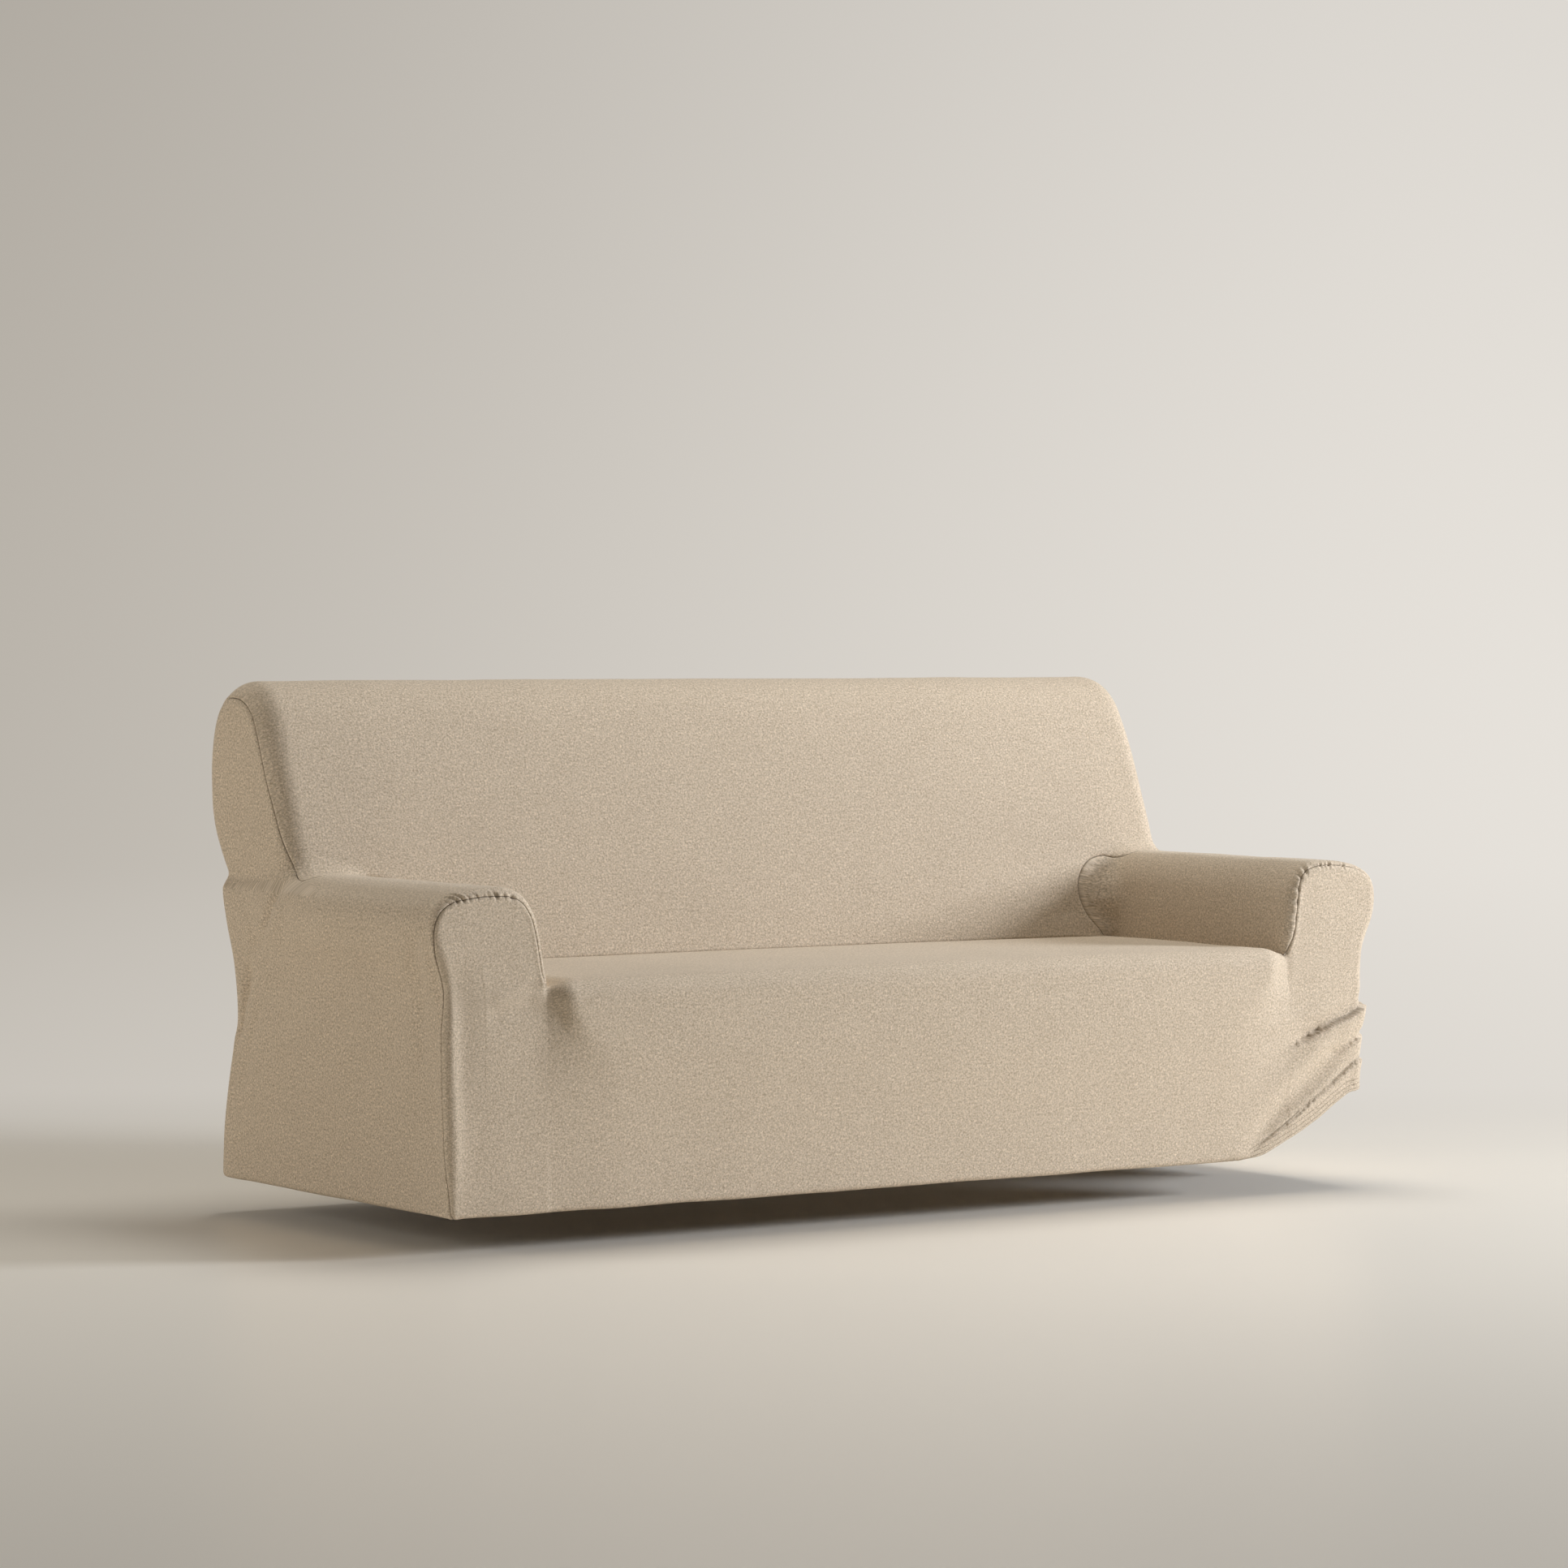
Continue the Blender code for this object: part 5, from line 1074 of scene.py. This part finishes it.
def knit_material(name, grain):
    material = bpy.data.materials.new(name)
    material.use_nodes = True
    t = material.node_tree
    t.nodes.clear()
    out = node(t, "ShaderNodeOutputMaterial", (900, 0))
    shader = node(t, "ShaderNodeBsdfPrincipled", (600, 0))
    t.links.new(shader.outputs[0], out.inputs[0])
    uv = node(t, "ShaderNodeUVMap", (-1600, 0), uv_map="cloth")
    split_uv = node(t, "ShaderNodeSeparateXYZ", (-1400, 0))
    t.links.new(uv.outputs[0], split_uv.inputs[0])
    # the loops lie in columns; each loop's two legs lean together like a V
    warp = node(t, "ShaderNodeTexNoise", (-1400, -300))
    warp.inputs["Scale"].default_value = 70.0
    warp.inputs["Detail"].default_value = 2.0
    t.links.new(uv.outputs[0], warp.inputs["Vector"])
    shift = maths(t, "SUBTRACT", warp.outputs["Fac"], 0.5)
    col = maths(t, "ADD", maths(t, "DIVIDE", split_uv.outputs[0], WALE), maths(t, "MULTIPLY", shift, 1.1))
    inside = maths(t, "ABSOLUTE", maths(t, "SUBTRACT", maths(t, "FRACT", col), 0.5))
    row = maths(t, "ADD", maths(t, "ADD", maths(t, "DIVIDE", split_uv.outputs[1], COURSE), maths(t, "MULTIPLY", shift, 1.6)), maths(t, "MULTIPLY", inside, 2.0))
    cell = node(t, "ShaderNodeCombineXYZ", (-700, 0))
    t.links.new(maths(t, "FLOOR", col), cell.inputs[0])
    t.links.new(maths(t, "FLOOR", row), cell.inputs[1])
    white = node(t, "ShaderNodeTexWhiteNoise", (-500, 0), noise_dimensions="2D")
    t.links.new(cell.outputs[0], white.inputs["Vector"])
    # a yarn keeps its shade for a few loops, so neighbours share some of it
    streak = node(t, "ShaderNodeTexNoise", (-700, -300))
    streak.inputs["Scale"].default_value = 1.0
    streak.inputs["Detail"].default_value = 1.0
    stretch = node(t, "ShaderNodeVectorMath", (-900, -300), operation="MULTIPLY")
    stretch.inputs[1].default_value = (190.0, 420.0, 1.0)
    t.links.new(uv.outputs[0], stretch.inputs[0])
    t.links.new(stretch.outputs[0], streak.inputs["Vector"])
    shade = maths(t, "ADD", maths(t, "MULTIPLY", white.outputs["Value"], 0.80), maths(t, "MULTIPLY", streak.outputs["Fac"], 0.20))
    ramp = node(t, "ShaderNodeValToRGB", (-300, 0))
    e = ramp.color_ramp.elements
    while len(e) > 1:
        e.remove(e[-1])
    for i, (p, c) in enumerate(FLECKS):
        k = e[0] if i == 0 else e.new(p)
        k.position = p
        k.color = (CLOTH[0]*c[0], CLOTH[1]*c[1], CLOTH[2]*c[2], 1)
    t.links.new(shade, ramp.inputs[0])
    # broad, faint change of shade over the cloth
    broad = node(t, "ShaderNodeTexNoise", (-500, -500))
    broad.inputs["Scale"].default_value = 9.0
    broad.inputs["Detail"].default_value = 3.0
    t.links.new(uv.outputs[0], broad.inputs["Vector"])
    mottle = node(t, "ShaderNodeTexNoise", (-500, -600))
    mottle.inputs["Scale"].default_value = 260.0
    mottle.inputs["Detail"].default_value = 2.0
    mottle.inputs["Roughness"].default_value = 0.6
    t.links.new(uv.outputs[0], mottle.inputs["Vector"])
    tone = maths(t, "MULTIPLY_ADD", broad.outputs["Fac"], 0.07, 0.965)
    tone = maths(t, "MULTIPLY", tone, maths(t, "MULTIPLY_ADD", mottle.outputs["Fac"], grain, 1-grain/2))
    # painted shade along seams: the colour darkens to 0.62 within 1.1 mm of a seam line, less at creases
    near = node(t, "ShaderNodeAttribute", (-500, -700), attribute_name="seam")
    line = node(t, "ShaderNodeMapRange", (-300, -700), interpolation_type="SMOOTHSTEP")
    line.inputs["From Min"].default_value = 0.0
    line.inputs["From Max"].default_value = 0.0011
    line.inputs["To Min"].default_value = 0.62
    line.inputs["To Max"].default_value = 1.0
    t.links.new(near.outputs["Fac"], line.inputs["Value"])
    # painted shade in gather pits and crease valleys, up to 38 % darker
    shut = node(t, "ShaderNodeAttribute", (-500, -900), attribute_name="shut")
    painted_shade_factor = maths(t, "MULTIPLY", line.outputs[0], maths(t, "MULTIPLY_ADD", shut.outputs["Fac"], -0.38, 1.0))
    scale = node(t, "ShaderNodeVectorMath", (100, 0), operation="SCALE")
    t.links.new(ramp.outputs[0], scale.inputs[0])
    t.links.new(maths(t, "MULTIPLY", tone, painted_shade_factor), scale.inputs["Scale"])
    t.links.new(scale.outputs[0], shader.inputs["Base Color"])
    # relief of the loops
    ridge = maths(t, "PINGPONG", row, 0.5)
    height = maths(t, "ADD", maths(t, "MULTIPLY", ridge, 0.9), maths(t, "MULTIPLY", inside, -0.6))
    bump = node(t, "ShaderNodeBump", (300, -300))
    bump.inputs["Strength"].default_value = 0.35
    bump.inputs["Distance"].default_value = 0.0004
    t.links.new(height, bump.inputs["Height"])
    t.links.new(bump.outputs[0], shader.inputs["Normal"])
    shader.inputs["Roughness"].default_value = 0.94
    shader.inputs["Specular IOR Level"].default_value = 0.18
    shader.inputs["Sheen Weight"].default_value = 0.16
    shader.inputs["Sheen Roughness"].default_value = 0.45
    shader.inputs["Sheen Tint"].default_value = (1.0, 0.93, 0.82, 1)
    material.diffuse_color = (*CLOTH, 1)
    return material


def backdrop_glow(t):
    """pale backdrop that glows, painted light: brighter on the side of the key light and lower down"""
    place = node(t, "ShaderNodeNewGeometry", (-1000, 0))
    across = node(t, "ShaderNodeVectorMath", (-800, 0), operation="DOT_PRODUCT")
    across.inputs[1].default_value = (0.828, -0.560, 0.0)
    t.links.new(place.outputs["Position"], across.inputs[0])
    ramp = node(t, "ShaderNodeMapRange", (-600, 0), interpolation_type="SMOOTHSTEP")
    ramp.inputs["From Min"].default_value = -6.0
    ramp.inputs["From Max"].default_value = 4.6
    t.links.new(across.outputs["Value"], ramp.inputs["Value"])
    up = node(t, "ShaderNodeSeparateXYZ", (-800, -200))
    t.links.new(place.outputs["Position"], up.inputs[0])
    fade = node(t, "ShaderNodeMapRange", (-600, -200), interpolation_type="SMOOTHSTEP")
    fade.inputs["From Min"].default_value = 0.0
    fade.inputs["From Max"].default_value = 7.0
    fade.inputs["To Min"].default_value = 1.0
    fade.inputs["To Max"].default_value = 0.86
    t.links.new(up.outputs["Z"], fade.inputs["Value"])
    mix = node(t, "ShaderNodeMix", (-300, 0), data_type="RGBA")
    mix.inputs["A"].default_value = (0.46, 0.425, 0.375, 1)
    mix.inputs["B"].default_value = (0.80, 0.765, 0.715, 1)
    t.links.new(ramp.outputs[0], mix.inputs["Factor"])
    glow = node(t, "ShaderNodeEmission", (0, 0))
    t.links.new(mix.outputs["Result"], glow.inputs["Color"])
    t.links.new(fade.outputs[0], glow.inputs["Strength"])
    return place, glow


def floor_material():
    material = bpy.data.materials.new("studio_floor")
    material.use_nodes = True
    t = material.node_tree
    shader = t.nodes["Principled BSDF"]
    out = t.nodes["Material Output"]
    shader.inputs["Base Color"].default_value = (0.94, 0.890, 0.800, 1)
    shader.inputs["Roughness"].default_value = 0.38
    shader.inputs["Specular IOR Level"].default_value = 0.35
    place, glow = backdrop_glow(t)
    # painted light: beyond the sofa the floor blends into the glowing backdrop instead of being lit
    length = node(t, "ShaderNodeVectorMath", (-600, 300), operation="DOT_PRODUCT")
    length.inputs[1].default_value = (0.560, 0.828, 0.0)
    t.links.new(place.outputs["Position"], length.inputs[0])
    far = node(t, "ShaderNodeMapRange", (-400, 300), interpolation_type="SMOOTHSTEP")
    far.inputs["From Min"].default_value = 0.5
    far.inputs["From Max"].default_value = 2.3
    t.links.new(length.outputs["Value"], far.inputs["Value"])
    mix = node(t, "ShaderNodeMixShader", (200, 200))
    t.links.new(far.outputs[0], mix.inputs["Fac"])
    t.links.new(shader.outputs[0], mix.inputs[1])
    t.links.new(glow.outputs[0], mix.inputs[2])
    t.links.new(mix.outputs[0], out.inputs["Surface"])
    return material


def wall_material():
    material = bpy.data.materials.new("studio_wall")
    material.use_nodes = True
    t = material.node_tree
    t.nodes.clear()
    out = node(t, "ShaderNodeOutputMaterial", (600, 0))
    # the wall only glows, with the painted light of backdrop_glow
    place, glow = backdrop_glow(t)
    t.links.new(glow.outputs[0], out.inputs[0])
    return material


def thread_material():
    material = bpy.data.materials.new("thread")
    material.use_nodes = True
    shader = material.node_tree.nodes["Principled BSDF"]
    shader.inputs["Base Color"].default_value = (0.30, 0.235, 0.170, 1)
    shader.inputs["Roughness"].default_value = 0.75
    return material


# ================================================================ build
def studio():
    radius, rise, top = 13.0, 5.0, 10.0
    n = 96
    profile = [(radius+rise*np.sin(a), FLOOR+rise*(1-np.cos(a))) for a in np.linspace(0, np.pi/2, 17)]+[(radius+rise, FLOOR+top)]
    th = np.linspace(0, 2*np.pi, n, endpoint=False)
    V = [(0.0, 0.0, FLOOR)]
    F = []
    for r in (radius,):
        V += [(r*np.cos(a), r*np.sin(a), FLOOR) for a in th]
    F += [(0, 1+i, 1+(i+1) % n) for i in range(n)]
    mesh = bpy.data.meshes.new("studio_floor")
    mesh.from_pydata(V, [], F)
    floor = bpy.data.objects.new("studio_floor", mesh)
    V = [(r*np.cos(a), r*np.sin(a), z) for r, z in profile for a in th]
    F = [(j*n+i, j*n+(i+1) % n, (j+1)*n+(i+1) % n, (j+1)*n+i) for j in range(len(profile)-1) for i in range(n)]
    mesh = bpy.data.meshes.new("studio_cove")
    mesh.from_pydata(V, [], F)
    mesh.shade_smooth()
    cove = bpy.data.objects.new("studio_cove", mesh)
    cove.visible_shadow = False
    cove.visible_diffuse = False
    cove.visible_glossy = False
    for o, mat in ((floor, floor_material()), (cove, wall_material())):
        o.data.materials.append(mat)
        bpy.context.scene.collection.objects.link(o)


def light(name, place, aim, size, watts, colour=(1, 1, 1)):
    data = bpy.data.lights.new(name, "AREA")
    data.shape = "RECTANGLE"
    data.size, data.size_y = size
    data.energy = watts
    data.color = colour
    obj = bpy.data.objects.new(name, data)
    obj.location = place
    obj.rotation_euler = (Vector(aim)-Vector(place)).to_track_quat("-Z", "Y").to_euler()
    obj.visible_camera = False
    bpy.context.scene.collection.objects.link(obj)
    return obj


LIGHTS = [                   # name, place, aim, size, watts, colour
    ("key_right", (4.9, -3.5, 1.95), (0.1, -0.1, 0.4), (1.4, 1.4), 341.0, (0.932, 0.976, 1.062)),
    ("fill_front", (-2.2, -7.2, 2.5), (-0.2, 0.0, 0.4), (4.0, 2.5), 21.5, (1.0, 0.97, 0.91)),
    ("fill_left", (-4.8, 1.6, 1.35), (-0.8, 0.0, 0.3), (2.5, 2.0), 62.0, (1.0, 0.955, 0.89)),
    ("top", (1.2, 0.5, 4.8), (0.3, -0.1, 0.0), (3.0, 2.0), 104.0, (1.0, 0.985, 0.95))]
WORLD = (0.147, 0.136, 0.121)


def main():
    studio()
    nets = {k: Net(k) for k in sorted(set(FINENESS.values()))}
    for name in PANELS:
        net = nets[FINENESS[name]]
        piece = make_panel(name, net, seam_list(net))
        piece.data.materials.append(knit_material("knit_"+name, GRAIN[name]))
        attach(piece, "root")
        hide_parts(name)
    net = nets[FINENESS["seat_front_panel"]]
    thread = hem_stitches(net, seam_list(net))
    thread.data.materials.append(thread_material())
    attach(thread, "root")
    for row in LIGHTS:
        light(*row)
    world = bpy.data.worlds.new("studio")
    world.use_nodes = True
    world.node_tree.nodes["Background"].inputs[0].default_value = (*WORLD, 1)
    bpy.context.scene.world = world
    camera = bpy.data.objects.new("camera", bpy.data.cameras.new("camera"))
    camera.data.lens = LENS
    camera.data.sensor_width = 36.0
    camera.data.clip_end = 100.0
    camera.location = CAMERA
    yaw, pitch = np.radians(YAW), np.radians(PITCH)
    look = Vector((np.sin(yaw)*np.cos(pitch), np.cos(yaw)*np.cos(pitch), -np.sin(pitch)))
    camera.rotation_euler = look.to_track_quat("-Z", "Y").to_euler()
    bpy.context.scene.collection.objects.link(camera)
    bpy.context.scene.camera = camera
    bpy.context.scene.view_settings.view_transform = "Standard"


main()
